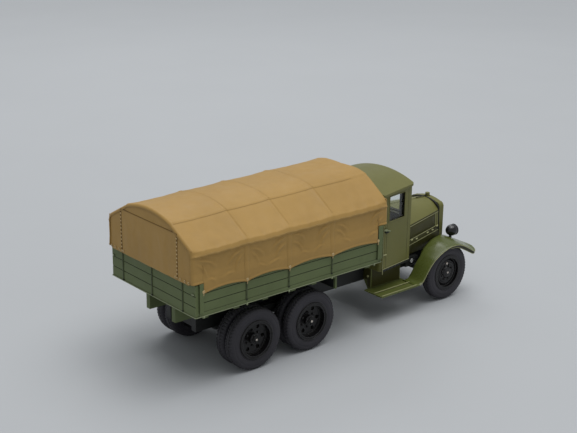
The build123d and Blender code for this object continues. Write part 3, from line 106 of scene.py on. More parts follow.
class NodeSheet:
    """Adds nodes to one node tree and joins them."""

    def __init__(self, tree: bpy.types.NodeTree) -> None:
        """Keep the tree that the nodes go into."""
        self.tree = tree

    def node(self, kind: str, inputs: dict | None = None, **settings: object) -> bpy.types.Node:
        """Add one node.

        Args:
            kind: The node's type name.
            inputs: Input name or number to a value, or to the socket that feeds it.
            settings: Properties of the node itself.

        Returns:
            The new node.
        """
        made = self.tree.nodes.new(kind)
        for key, value in settings.items():
            setattr(made, key, value)
        for key, value in (inputs or {}).items():
            if isinstance(value, bpy.types.NodeSocket):
                self.tree.links.new(value, made.inputs[key])
            else:
                made.inputs[key].default_value = value
        return made

    def group(self, tree: bpy.types.NodeTree, inputs: dict) -> bpy.types.Node:
        """Add a node group.

        Args:
            tree: The group.
            inputs: Input name to a value or a socket.

        Returns:
            The group's node.
        """
        return self.node("ShaderNodeGroup", inputs, node_tree=tree)

    def blend(self, under: object, over: object, share: object) -> bpy.types.NodeSocket:
        """Lay one colour over another.

        Args:
            under: Colour or socket below.
            over: Colour or socket on top.
            share: How much of the top shows, a number or a socket.

        Returns:
            The mixed colour's socket.
        """
        inputs = {0: share, 6: under, 7: over}
        return self.node("ShaderNodeMix", inputs, data_type="RGBA", blend_type="MIX").outputs[2]

    def math(self, operation: str, first: object, second: object = 0.0) -> bpy.types.NodeSocket:
        """Work out one number from two.

        Args:
            operation: The math node's operation.
            first: Number or socket.
            second: Number or socket.

        Returns:
            The result's socket.
        """
        return self.node("ShaderNodeMath", {0: first, 1: second}, operation=operation).outputs[0]

    def span(self, value: object, low: float, high: float, start: float, end: float) -> bpy.types.NodeSocket:
        """Map a value from one range onto another, smoothly and clamped.

        Args:
            value: The socket to map.
            low: Input at the start.
            high: Input at the end.
            start: Output at the low input.
            end: Output at the high input.

        Returns:
            The mapped socket.
        """
        inputs = {"Value": value, "From Min": low, "From Max": high, "To Min": start, "To Max": end}
        return self.node("ShaderNodeMapRange", inputs, interpolation_type="SMOOTHSTEP").outputs[0]


class ShaderShelf:
    """The node groups that several finishes share. Each is made once."""

    @staticmethod
    def _open(name: str, inputs: dict[str, tuple], outputs: dict[str, str]) -> tuple:
        """Start a group.

        Args:
            name: The group's name.
            inputs: Input name to its socket type and default.
            outputs: Output name to its socket type.

        Returns:
            The group, its sheet, its input node and its output node.
        """
        tree = bpy.data.node_groups.new(name, "ShaderNodeTree")
        for label, (kind, default) in inputs.items():
            tree.interface.new_socket(label, in_out="INPUT", socket_type=kind).default_value = default
        for label, kind in outputs.items():
            tree.interface.new_socket(label, in_out="OUTPUT", socket_type=kind)
        sheet = NodeSheet(tree)
        return tree, sheet, sheet.node("NodeGroupInput"), sheet.node("NodeGroupOutput")

    @classmethod
    def tone(cls) -> bpy.types.NodeTree:
        """Return the group that mottles a colour with broad and fine patches."""
        found = bpy.data.node_groups.get("paint_tone")
        if found:
            return found
        inputs = {"Colour": ("NodeSocketColor", (0.5, 0.5, 0.5, 1.0)), "Scale": ("NodeSocketFloat", 60.0),
                  "Amount": ("NodeSocketFloat", 0.1)}
        tree, sheet, taken, given = cls._open("paint_tone", inputs, {"Colour": "NodeSocketColor"})
        place = sheet.node("ShaderNodeTexCoord").outputs["Object"]
        broad = sheet.node("ShaderNodeTexNoise", {"Vector": place, "Scale": taken.outputs["Scale"], "Detail": 3.0})
        fine_scale = sheet.math("MULTIPLY", taken.outputs["Scale"], 7.0)
        fine = sheet.node("ShaderNodeTexNoise", {"Vector": place, "Scale": fine_scale, "Detail": 2.0})
        patches = sheet.math("MULTIPLY", broad.outputs[0], 0.7)
        both = sheet.math("ADD", patches, sheet.math("MULTIPLY", fine.outputs[0], 0.3))
        centred = sheet.math("SUBTRACT", sheet.span(both, 0.32, 0.68, 0.0, 1.0), 0.5)
        factor = sheet.math("ADD", sheet.math("MULTIPLY", centred, taken.outputs["Amount"]), 1.0)
        scaled = sheet.node("ShaderNodeVectorMath", {0: taken.outputs["Colour"], "Scale": factor}, operation="SCALE")
        tree.links.new(scaled.outputs[0], given.inputs["Colour"])
        return tree

    @classmethod
    def edges(cls) -> bpy.types.NodeTree:
        """Return the group that masks the edges, where paint rubs thin and light catches."""
        found = bpy.data.node_groups.get("edge_catch")
        if found:
            return found
        tree, sheet, taken, given = cls._open("edge_catch", {"Width": ("NodeSocketFloat", 0.0002)},
                                              {"Mask": "NodeSocketFloat"})
        rounded = sheet.node("ShaderNodeBevel", {"Radius": taken.outputs["Width"]}, samples=6)
        flat = sheet.node("ShaderNodeNewGeometry").outputs["Normal"]
        dot = sheet.node("ShaderNodeVectorMath", {0: rounded.outputs[0], 1: flat}, operation="DOT_PRODUCT")
        # The mask marks edges both for rubbed paint and for painted highlight where light catches them.
        rubbed_and_lit = sheet.span(sheet.math("SUBTRACT", 1.0, dot.outputs["Value"]), 0.02, 0.22, 0.0, 1.0)
        place = sheet.node("ShaderNodeTexCoord").outputs["Object"]
        patch = sheet.node("ShaderNodeTexNoise", {"Vector": place, "Scale": 180.0, "Detail": 2.0})
        broken = sheet.span(patch.outputs[0], 0.3, 0.6, 0.45, 1.0)
        tree.links.new(sheet.math("MULTIPLY", rubbed_and_lit, broken), given.inputs["Mask"])
        return tree

    @classmethod
    def crevices(cls) -> bpy.types.NodeTree:
        """Return the group that masks the grooves and inside corners, where the dark colour paints the shade that falls
        there.
        """
        found = bpy.data.node_groups.get("crevice_shade")
        if found:
            return found
        tree, sheet, taken, given = cls._open("crevice_shade", {"Reach": ("NodeSocketFloat", 0.001)},
                                              {"Mask": "NodeSocketFloat"})
        seen = sheet.node("ShaderNodeAmbientOcclusion", {"Distance": taken.outputs["Reach"]}, samples=8)
        tree.links.new(sheet.span(seen.outputs["AO"], 0.35, 0.92, 1.0, 0.0), given.inputs["Mask"])
        return tree

    @classmethod
    def dust(cls) -> bpy.types.NodeTree:
        """Return the group that masks upward faces, where dust lies in patches."""
        found = bpy.data.node_groups.get("settled_dust")
        if found:
            return found
        tree, sheet, taken, given = cls._open("settled_dust", {"Scale": ("NodeSocketFloat", 90.0)},
                                              {"Mask": "NodeSocketFloat"})
        place = sheet.node("ShaderNodeTexCoord")
        up = sheet.node("ShaderNodeSeparateXYZ", {0: place.outputs["Normal"]}).outputs["Z"]
        inputs = {"Vector": place.outputs["Object"], "Scale": taken.outputs["Scale"], "Detail": 4.0}
        patch = sheet.span(sheet.node("ShaderNodeTexNoise", inputs).outputs[0], 0.35, 0.7, 0.2, 1.0)
        tree.links.new(sheet.math("MULTIPLY", sheet.span(up, 0.3, 1.0, 0.0, 1.0), patch), given.inputs["Mask"])
        return tree

    @classmethod
    def grain(cls) -> bpy.types.NodeTree:
        """Return the group that gives the height of a moulded or painted surface's grain."""
        found = bpy.data.node_groups.get("moulding_grain")
        if found:
            return found
        tree, sheet, taken, given = cls._open("moulding_grain", {"Scale": ("NodeSocketFloat", 2500.0)},
                                              {"Height": "NodeSocketFloat", "Break": "NodeSocketFloat"})
        place = sheet.node("ShaderNodeTexCoord").outputs["Object"]
        fine = sheet.node("ShaderNodeTexNoise", {"Vector": place, "Scale": taken.outputs["Scale"], "Detail": 2.0})
        slow_scale = sheet.math("MULTIPLY", taken.outputs["Scale"], 0.08)
        slow = sheet.node("ShaderNodeTexNoise", {"Vector": place, "Scale": slow_scale, "Detail": 2.0})
        height = sheet.math("ADD", sheet.math("MULTIPLY", fine.outputs[0], 0.5), slow.outputs[0])
        tree.links.new(height, given.inputs["Height"])
        tree.links.new(sheet.math("SUBTRACT", slow.outputs[0], 0.5), given.inputs["Break"])
        return tree


@dataclass(frozen=True)
class Finish:
    """A painted or moulded surface."""

    name: str
    colour: Colour
    roughness: float = 0.5
    metallic: float = 0.0
    coat: float = 0.0
    specular: float = 0.5
    mottle: float = 0.16
    mottle_scale: float = 60.0
    # The edge colour is partly rubbed paint and partly a painted highlight where light catches the edges.
    edge_colour: Colour = (0.4, 0.4, 0.3)
    edge_gain: float = 0.35
    edge_width: float = 0.25
    # The recess shade colour, gain and reach paint shade into the grooves and inside corners of each finish.
    recess_shade_colour: Colour = (0.012, 0.012, 0.008)
    recess_shade_gain: float = 0.6
    recess_shade_reach: float = 1.0
    dust_colour: Colour = (0.36, 0.34, 0.28)
    dust_gain: float = 0.0
    grain_scale: float = 2600.0
    grain_depth: float = 0.012
    rounding: float = 0.12

    def base(self, sheet: NodeSheet) -> bpy.types.NodeSocket:
        """Build the colour of the surface.

        Args:
            sheet: The material's node sheet.

        Returns:
            The colour's socket.
        """
        mottled = sheet.group(ShaderShelf.tone(), {"Colour": (*self.colour, 1.0), "Scale": self.mottle_scale,
                                                   "Amount": self.mottle}).outputs[0]
        # Painted shade: the colour darkens in grooves and inside corners.
        recess_shade = sheet.group(ShaderShelf.crevices(), {"Reach": self.recess_shade_reach * MM}).outputs[0]
        recess_shaded = sheet.blend(mottled, (*self.recess_shade_colour, 1.0), sheet.math("MULTIPLY", recess_shade, self.recess_shade_gain))
        # Light edges: partly rubbed paint, partly a painted highlight where light catches them.
        rubbed_and_lit = sheet.group(ShaderShelf.edges(), {"Width": self.edge_width * MM}).outputs[0]
        open_edge = sheet.math("MULTIPLY", rubbed_and_lit, sheet.math("SUBTRACT", 1.0, recess_shade))
        worn_and_lit = sheet.blend(recess_shaded, (*self.edge_colour, 1.0), sheet.math("MULTIPLY", open_edge, self.edge_gain))
        if self.dust_gain <= 0.0:
            return worn_and_lit
        veil = sheet.group(ShaderShelf.dust(), {"Scale": 90.0}).outputs[0]
        return sheet.blend(worn_and_lit, (*self.dust_colour, 1.0), sheet.math("MULTIPLY", veil, self.dust_gain))

    def relief(self, sheet: NodeSheet, grain: bpy.types.Node) -> bpy.types.NodeSocket:
        """Build the surface's normal.

        Args:
            sheet: The material's node sheet.
            grain: The grain group's node.

        Returns:
            The normal's socket.
        """
        rounded = sheet.node("ShaderNodeBevel", {"Radius": self.rounding * MM}, samples=6)
        inputs = {"Height": grain.outputs["Height"], "Strength": 1.0, "Distance": self.grain_depth * MM,
                  "Normal": rounded.outputs[0]}
        return sheet.node("ShaderNodeBump", inputs).outputs[0]

    def shade(self, sheet: NodeSheet, shader: bpy.types.Node) -> None:
        """Set what is the same all over the surface.

        Args:
            sheet: The material's node sheet; not used.
            shader: The surface shader.
        """
        shader.inputs["Metallic"].default_value = self.metallic
        shader.inputs["Coat Weight"].default_value = self.coat
        shader.inputs["Coat Roughness"].default_value = 0.12
        shader.inputs["Specular IOR Level"].default_value = self.specular

    def material(self) -> bpy.types.Material:
        """Return the finish's material, made at its first use."""
        found = bpy.data.materials.get(self.name)
        if found:
            return found
        made = bpy.data.materials.new(self.name)
        made.use_nodes = True
        made.node_tree.nodes.clear()
        sheet = NodeSheet(made.node_tree)
        grain = sheet.group(ShaderShelf.grain(), {"Scale": self.grain_scale})
        sheen = sheet.math("ADD", sheet.math("MULTIPLY", grain.outputs["Break"], 0.3), self.roughness)
        shader = sheet.node("ShaderNodeBsdfPrincipled", {"Base Color": self.base(sheet), "Roughness": sheen,
                                                         "Normal": self.relief(sheet, grain)})
        self.shade(sheet, shader)
        sheet.node("ShaderNodeOutputMaterial", {"Surface": shader.outputs[0]})
        return made


@dataclass(frozen=True)
class ClearFinish(Finish):
    """Clear moulded glazing."""

    def shade(self, sheet: NodeSheet, shader: bpy.types.Node) -> None:
        """Let light through.

        Args:
            sheet: The material's node sheet.
            shader: The surface shader.
        """
        super().shade(sheet, shader)
        shader.inputs["Transmission Weight"].default_value = 1.0
        shader.inputs["IOR"].default_value = 1.3


class Finishes(Enum):
    """Every finish on the truck."""

    TILT = Finish("tan_tilt", (0.385, 0.235, 0.072), roughness=0.5, specular=0.2, mottle=0.10, mottle_scale=45.0,
                  edge_colour=(0.60, 0.44, 0.20), edge_gain=0.35, edge_width=0.35, recess_shade_colour=(0.09, 0.045, 0.010),
                  recess_shade_gain=0.6, recess_shade_reach=0.9, grain_depth=0.008)
    CORD = Finish("tan_cord", (0.56, 0.41, 0.20), roughness=0.6, specular=0.25, edge_gain=0.2, recess_shade_gain=0.45,
                  recess_shade_reach=0.4, recess_shade_colour=(0.10, 0.055, 0.015))
    # Lighter tan for the eave's bead: painted highlight along the eave.
    SEAM = Finish("tan_eave_highlight", (0.50, 0.335, 0.135), roughness=0.55, specular=0.2, edge_gain=0.3, recess_shade_gain=0.5,
                  recess_shade_reach=0.5, recess_shade_colour=(0.09, 0.045, 0.010))
    # Dark tan for the line round the rear flap: painted shade along the flap's edges.
    FLAP_SHADE_LINE = Finish("dark_tan_shade_line", (0.19, 0.11, 0.032), roughness=0.6, specular=0.15, edge_gain=0.1,
                       recess_shade_gain=0.4, recess_shade_colour=(0.07, 0.035, 0.008))
    STITCH = Finish("tan_stitch", (0.325, 0.195, 0.058), roughness=0.6, specular=0.15, edge_gain=0.1, recess_shade_gain=0.4,
                    recess_shade_colour=(0.09, 0.045, 0.010))
    BED = Finish("sage_bed", (0.118, 0.148, 0.062), roughness=0.55, specular=0.25, mottle=0.14,
                 edge_colour=(0.27, 0.31, 0.17), edge_gain=0.4, recess_shade_gain=0.8, recess_shade_reach=0.8)
    # The bed's green painted lighter: painted highlight on the sill bead, rope hooks, latches and door handles.
    SAGE_HIGHLIGHT = Finish("sage_highlight", (0.22, 0.25, 0.14), roughness=0.5, specular=0.3, edge_colour=(0.42, 0.45, 0.30),
                  edge_gain=0.5, recess_shade_gain=0.5, recess_shade_reach=0.5)
    STRAP = Finish("dark_strap", (0.020, 0.026, 0.012), roughness=0.5, specular=0.25, edge_colour=(0.05, 0.06, 0.03),
                   edge_gain=0.2, recess_shade_gain=0.4)
    CAB = Finish("olive_cab", (0.140, 0.137, 0.037), roughness=0.42, specular=0.28, coat=0.04, mottle=0.10,
                 edge_colour=(0.34, 0.34, 0.15), edge_gain=0.4, recess_shade_gain=0.75, recess_shade_reach=0.9)
    # Near-black olive for the fenders' turned-down flanges: painted shade under the fender's edge.
    FLANGE_SHADE = Finish("olive_flange_shade", (0.022, 0.024, 0.008), roughness=0.4, specular=0.25, mottle=0.16,
                    edge_colour=(0.10, 0.11, 0.05), edge_gain=0.25, recess_shade_gain=0.6, recess_shade_reach=0.8)
    # Dark olive for sheets and CAD nodes that stand in shade: painted shade.
    SHADE = Finish("olive_painted_shade", (0.046, 0.044, 0.011), roughness=0.45, specular=0.2, mottle=0.16,
                   edge_colour=(0.22, 0.22, 0.10), edge_gain=0.4, recess_shade_gain=0.7, recess_shade_reach=0.8)
    # Light olive for beads, catches and door furniture: painted highlight on the cab's edges and ridges.
    TRIM_HIGHLIGHT = Finish("olive_trim_highlight", (0.33, 0.33, 0.155), roughness=0.4, specular=0.35, edge_colour=(0.52, 0.51, 0.30),
                  edge_gain=0.4, recess_shade_gain=0.5, recess_shade_reach=0.4)
    FENDER = Finish("olive_fender", (0.078, 0.096, 0.020), roughness=0.27, specular=0.42, coat=0.10, mottle=0.10,
                    edge_colour=(0.30, 0.34, 0.14), edge_gain=0.45, recess_shade_gain=0.6, recess_shade_reach=1.2)
    STEP = Finish("olive_step", (0.096, 0.112, 0.026), roughness=0.45, specular=0.28, mottle=0.12,
                  edge_colour=(0.42, 0.46, 0.22), edge_gain=0.7, edge_width=0.3, recess_shade_gain=0.6, recess_shade_reach=0.9)
    CHASSIS = Finish("black_chassis", (0.016, 0.017, 0.016), roughness=0.45, specular=0.3, mottle=0.3,
                     edge_colour=(0.07, 0.07, 0.065), edge_gain=0.4, recess_shade_gain=0.4)
    WHEEL = Finish("black_wheel", (0.0068, 0.0063, 0.0068), roughness=0.26, specular=0.32, mottle=0.25,
                   edge_colour=(0.13, 0.125, 0.13), edge_gain=0.7, recess_shade_gain=0.7, recess_shade_reach=0.8)
    # Light bronze metal for the hub ends, light enough to also paint the hubs' highlights.
    HUB_HIGHLIGHT = Finish("bronze_hub_highlight", (0.58, 0.52, 0.46), roughness=0.22, metallic=0.85, mottle=0.25,
                 edge_colour=(0.5, 0.44, 0.38), edge_gain=0.5, recess_shade_gain=0.5, recess_shade_reach=0.4)
    TYRE = Finish("rubber_tyre", (0.034, 0.032, 0.038), roughness=0.58, specular=0.3, mottle=0.25,
                  edge_colour=(0.13, 0.125, 0.13), edge_gain=0.45, recess_shade_gain=0.7, recess_shade_reach=0.6,
                  dust_colour=(0.2, 0.19, 0.17), dust_gain=0.05, grain_depth=0.02)
    STEEL = Finish("bright_steel", (0.66, 0.66, 0.64), roughness=0.26, metallic=1.0, mottle=0.15,
                   edge_colour=(0.8, 0.8, 0.78), recess_shade_colour=(0.1, 0.1, 0.1))
    LAMP = Finish("gloss_black_lamp", (0.008, 0.008, 0.009), roughness=0.14, specular=0.5, coat=0.1, mottle=0.2,
                  edge_gain=0.1, recess_shade_gain=0.2, grain_depth=0.002)
    CORE = Finish("radiator_core", (0.018, 0.018, 0.018), roughness=0.5, mottle=0.3, edge_colour=(0.12, 0.12, 0.11),
                  edge_gain=0.5, recess_shade_gain=0.7, recess_shade_reach=0.5)
    SEAT = Finish("brown_seat", (0.075, 0.04, 0.02), roughness=0.5, mottle=0.3, edge_colour=(0.2, 0.12, 0.07),
                  recess_shade_gain=0.7)
    CLEAR = ClearFinish("clear_glazing", (0.93, 0.96, 0.95), roughness=0.04, mottle=0.03, edge_gain=0.0,
                        recess_shade_gain=0.0, grain_depth=0.0004, rounding=0.02)

    def material(self) -> bpy.types.Material:
        """Return this finish's material."""
        return self.value.material()


SLOT_FINISH: dict[Slot, Finishes] = {
    Slot.TILT: Finishes.TILT, Slot.BED: Finishes.BED, Slot.CAB: Finishes.CAB, Slot.CHASSIS: Finishes.CHASSIS,
    Slot.WHEEL: Finishes.WHEEL, Slot.TYRE: Finishes.TYRE, Slot.STEEL: Finishes.STEEL, Slot.CLEAR: Finishes.CLEAR,
    Slot.SEAT: Finishes.SEAT, Slot.LAMP: Finishes.LAMP, Slot.CORE: Finishes.CORE,
}
# The engine aprons and step brackets take the dark olive of painted shade.
NODE_FINISH: dict[str, Finishes] = {
    "fender_left": Finishes.FENDER, "fender_right": Finishes.FENDER,
    "running_board_left": Finishes.STEP, "running_board_right": Finishes.STEP,
    "engine_aprons": Finishes.SHADE, "step_brackets": Finishes.SHADE,
}


class Probe:
    """Finds where a line meets a CAD node's surface."""

    def __init__(self, node: str) -> None:
        """Keep the node's triangles."""
        mesh = frame["nodes"][node].data
        corners = [v.co.copy() for v in mesh.vertices]
        self.tree = BVHTree.FromPolygons(corners, [tuple(p.vertices) for p in mesh.polygons])

    def hit(self, start: Vector, along: Triple) -> Vector | None:
        """Follow a line to the surface.

        Args:
            start: Where the line begins.
            along: Its direction.

        Returns:
            The first point on the surface, or None where the line misses.
        """
        return self.tree.ray_cast(start, Vector(along).normalized())[0]


class Piece:
    """A mesh under construction and its place on the truck. Sizes are in millimetres."""

    def __init__(self, name: str) -> None:
        """Start an empty mesh."""
        self.name = name
        self.bm = bmesh.new()

    @staticmethod
    def _turn(axis: Triple) -> Matrix:
        """Return the turn that brings +z onto the axis."""
        return Vector(axis).to_track_quat("Z", "Y").to_matrix().to_4x4()

    def box(self, centre: Vector, size: Triple, bevel: float = 0.0, turn: Matrix | None = None) -> None:
        """Add a block with rounded edges.

        Args:
            centre: Its middle, in the part's frame.
            size: Length, width and height.
            bevel: Radius of the edges.
            turn: How it is turned, if it is.
        """
        scale = Matrix.Diagonal((*[s * MM for s in size], 1.0))
        place = Matrix.Translation(centre) @ (turn or Matrix.Identity(4)) @ scale
        made = bmesh.ops.create_cube(self.bm, size=1.0, matrix=place)["verts"]
        if bevel > 0.0:
            edges = list({e for v in made for e in v.link_edges})
            bmesh.ops.bevel(self.bm, geom=edges, offset=bevel * MM, offset_type="OFFSET", segments=2, profile=0.5,
                            affect="EDGES", material=-1)

    def rod(self, centre: Vector, axis: Triple, radius: float, length: float, segments: int = 20,
            bevel: float = 0.0, end_radius: float | None = None) -> None:
        """Add a round bar, cone or bolt.

        Args:
            centre: Its middle, in the part's frame.
            axis: Its direction.
            radius: Radius at the start.
            length: Length along the axis.
            segments: Sides round it.
            bevel: Radius of the two rims.
            end_radius: Radius at the far end, where it differs.
        """
        made = bmesh.ops.create_cone(self.bm, cap_ends=True, cap_tris=False, segments=segments, radius1=radius * MM,
                                     radius2=(radius if end_radius is None else end_radius) * MM, depth=length * MM,
                                     matrix=Matrix.Translation(centre) @ self._turn(axis))["verts"]
        if bevel > 0.0:
            rims = {e for v in made for e in v.link_edges if any(len(f.verts) == segments for f in e.link_faces)}
            bmesh.ops.bevel(self.bm, geom=list(rims), offset=bevel * MM, offset_type="OFFSET", segments=2,
                            profile=0.5, affect="EDGES", material=-1)

    def ball(self, centre: Vector, size: Triple, segments: int = 16) -> None:
        """Add an ellipsoid.

        Args:
            centre: Its middle, in the part's frame.
            size: Its three half axes.
            segments: Sides round it.
        """
        place = Matrix.Translation(centre) @ Matrix.Diagonal((*[s * MM for s in size], 1.0))
        bmesh.ops.create_uvsphere(self.bm, u_segments=segments, v_segments=segments // 2, radius=1.0, matrix=place)

    def ring(self, centre: Vector, axis: Triple, radius: float, thickness: float, steps: int = 32,
             sides: int = 8) -> None:
        """Add a ring of round wire.

        Args:
            centre: Its middle, in the part's frame.
            axis: The axis that it goes round.
            radius: Radius of the wire's centre line.
            thickness: Radius of the wire.
            steps: Sides round the ring.
            sides: Sides round the wire.
        """
        place = Matrix.Translation(centre) @ self._turn(axis)
        start = place @ Matrix.Translation((radius * MM, 0.0, 0.0)) @ Matrix.Rotation(math.pi / 2, 4, "X")
        made = bmesh.ops.create_circle(self.bm, cap_ends=False, segments=sides, radius=thickness * MM,
                                       matrix=start)["verts"]
        edges = list({e for v in made for e in v.link_edges})
        bmesh.ops.spin(self.bm, geom=[*made, *edges], cent=centre, axis=Vector(axis).normalized(), dvec=(0.0, 0.0, 0.0),
                       angle=2.0 * math.pi, steps=steps, use_merge=True, use_duplicate=False)

    def lathe(self, centre: Vector, axis: Triple, profile: list[Pair], steps: int) -> list[bmesh.types.BMVert]:
        """Turn a profile round an axis.

        Args:
            centre: The profile's origin, in the part's frame.
            axis: The axis that it goes round.
            profile: Radius and place along the axis of each point.
            steps: Sides round it.

        Returns:
            The vertices of the turned shape.
        """
        before = set(self.bm.verts)
        place = Matrix.Translation(centre) @ self._turn(axis)
        points = [self.bm.verts.new(place @ Vector((r * MM, 0.0, h * MM))) for r, h in profile]
        edges = [self.bm.edges.new(pair) for pair in zip(points, points[1:])]
        bmesh.ops.spin(self.bm, geom=[*points, *edges], cent=centre, axis=Vector(axis).normalized(),
                       dvec=(0.0, 0.0, 0.0), angle=2.0 * math.pi, steps=steps, use_merge=True, use_duplicate=False)
        made = [v for v in self.bm.verts if v not in before]
        bmesh.ops.remove_doubles(self.bm, verts=made, dist=1e-7)
        return [v for v in self.bm.verts if v not in before]

    def tube(self, path: list[Vector], radius: float, sides: int = 8) -> None:
        """Draw a round bead along a path.

        Args:
            path: Points in the part's frame.
            radius: Radius of the bead.
            sides: Sides round it.
        """
        ways = [(b - a).normalized() for a, b in zip(path, path[1:])]
        tangents = [ways[0], *[(a + b).normalized() for a, b in zip(ways, ways[1:])], ways[-1]]
        turn = tangents[0].to_track_quat("Z", "Y")
        made = bmesh.ops.create_circle(self.bm, cap_ends=False, segments=sides, radius=radius * MM,
                                       matrix=Matrix.Translation(path[0]) @ turn.to_matrix().to_4x4())["verts"]
        edges = list({e for v in made for e in v.link_edges})
        bmesh.ops.edgeloop_fill(self.bm, edges=edges)
        for here, there, old, new in zip(path, path[1:], tangents, tangents[1:]):
            grown = bmesh.ops.extrude_edge_only(self.bm, edges=edges)["geom"]
            made = [g for g in grown if isinstance(g, bmesh.types.BMVert)]
            swing = old.rotation_difference(new).to_matrix().to_4x4()
            move = Matrix.Translation(there) @ swing @ Matrix.Translation(-here)
            bmesh.ops.transform(self.bm, matrix=move, verts=made)
            ends = set(made)
            edges = [g for g in grown if isinstance(g, bmesh.types.BMEdge) and set(g.verts) <= ends]
        bmesh.ops.edgeloop_fill(self.bm, edges=edges)

    def both_sides(self) -> None:
        """Mirror everything so far to the other side of the truck, faces outwards."""
        first = list(self.bm.faces)
        bmesh.ops.mirror(self.bm, geom=[*self.bm.verts, *self.bm.edges, *first], matrix=Matrix.Identity(4),
                         merge_dist=-1.0, axis="Y")
        self.bm.normal_update()
        copies = list(self.bm.faces)[len(first):]
        wanted = first[0].normal * Vector((1.0, -1.0, 1.0))
        if copies[0].normal.dot(wanted) < 0.0:
            bmesh.ops.reverse_faces(self.bm, faces=copies)

    def face_towards(self, way: Triple) -> None:
        """Turn an open skin so that its first face looks the given way.

        Args:
            way: The direction that counts as outwards at the first face.
        """
        bmesh.ops.recalc_face_normals(self.bm, faces=self.bm.faces)
        self.bm.faces.ensure_lookup_table()
        if self.bm.faces[0].normal.dot(Vector(way)) < 0.0:
            bmesh.ops.reverse_faces(self.bm, faces=self.bm.faces)

    def place(self, body: Body, slot: Slot, finish: Finishes, replaces: tuple[str, ...] = (),
              crease: float = 38.0, wall: float = 0.0) -> bpy.types.Object:
        """Turn the mesh into a piece of the truck.

        Args:
            body: The body that it moves with.
            slot: The record's material slot.
            finish: Its finish.
            replaces: CAD nodes that it stands for.
            crease: Angle in degrees above which an edge stays sharp.
            wall: Thickness given inwards to an open skin, or nothing for a closed mesh.

        Returns:
            The piece.
        """
        if wall <= 0.0:
            bmesh.ops.recalc_face_normals(self.bm, faces=self.bm.faces)
        mesh = bpy.data.meshes.new(self.name)
        self.bm.to_mesh(mesh)
        self.bm.free()
        mesh.shade_smooth()
        mesh.set_sharp_from_angle(angle=math.radians(crease))
        made = bpy.data.objects.new(self.name, mesh)
        bpy.context.scene.collection.objects.link(made)
        mesh.materials.append(finish.material())
        if wall > 0.0:
            skin = made.modifiers.new("wall", "SOLIDIFY")
            skin.thickness, skin.offset = wall * MM, -1.0
        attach(made, body.value)
        if replaces:
            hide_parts(*replaces)
        LOG.info("%s: %d faces on %s", self.name, len(mesh.polygons), body.value)
        return made


class CadFinishes:
    """Dresses the CAD nodes by their slots."""

    def dress(self) -> None:
        """Give every CAD node its finish."""
        for row in frame["record"]["subparts"]:
            finish = NODE_FINISH.get(row["node"], SLOT_FINISH[Slot(row["material_slot"])])
            mesh = frame["nodes"][row["node"]].data
            mesh.materials.clear()
            mesh.materials.append(finish.material())
        LOG.info("CAD nodes dressed: %d", len(frame["nodes"]))


@dataclass
class Fold:
    """One drawn fold in the side of the tilt, measured from a hoop and from the eave."""

    start: Pair
    end: Pair
    bend: float
    height: float
    width: float

    def lift(self, along: np.ndarray, down: np.ndarray) -> np.ndarray:
        """Work out how far the fold lifts the cloth.

        Args:
            along: Distance from the hoop of each point.
            down: Distance below the eave of each point.

        Returns:
            The lift of each point.
        """
        best = np.full(along.shape, 1e9)
        signed = np.zeros(along.shape)
        fade = np.zeros(along.shape)
        steps = 10
        for k in range(steps):
            ends = [self._point((k + j) / steps) for j in (0, 1)]
            (ax, az), (bx, bz) = ends
            dx, dz = bx - ax, bz - az
            t = np.clip(((along - ax) * dx + (down - az) * dz) / (dx * dx + dz * dz), 0.0, 1.0)
            gap_x, gap_z = along - ax - t * dx, down - az - t * dz
            gap = np.hypot(gap_x, gap_z)
            nearer = gap < best
            best = np.where(nearer, gap, best)
            signed = np.where(nearer, np.sign(gap_x * dz - gap_z * dx) * gap, signed)
            fade = np.where(nearer, np.sin(math.pi * np.clip((k + t) / steps, 0.04, 0.96)) ** 0.7, fade)
        ridge = np.exp(-(signed / self.width) ** 2)
        valley = np.exp(-((signed - 1.5 * self.width) / self.width) ** 2)
        return self.height * fade * (ridge - 0.6 * valley)

    def _point(self, t: float) -> Pair:
        """Return the fold's centre line at t from 0 to 1."""
        bow = self.bend * math.sin(math.pi * t)
        dx, dz = self.end[0] - self.start[0], self.end[1] - self.start[1]
        length = math.hypot(dx, dz)
        return (self.start[0] + t * dx - bow * dz / length, self.start[1] + t * dz + bow * dx / length)


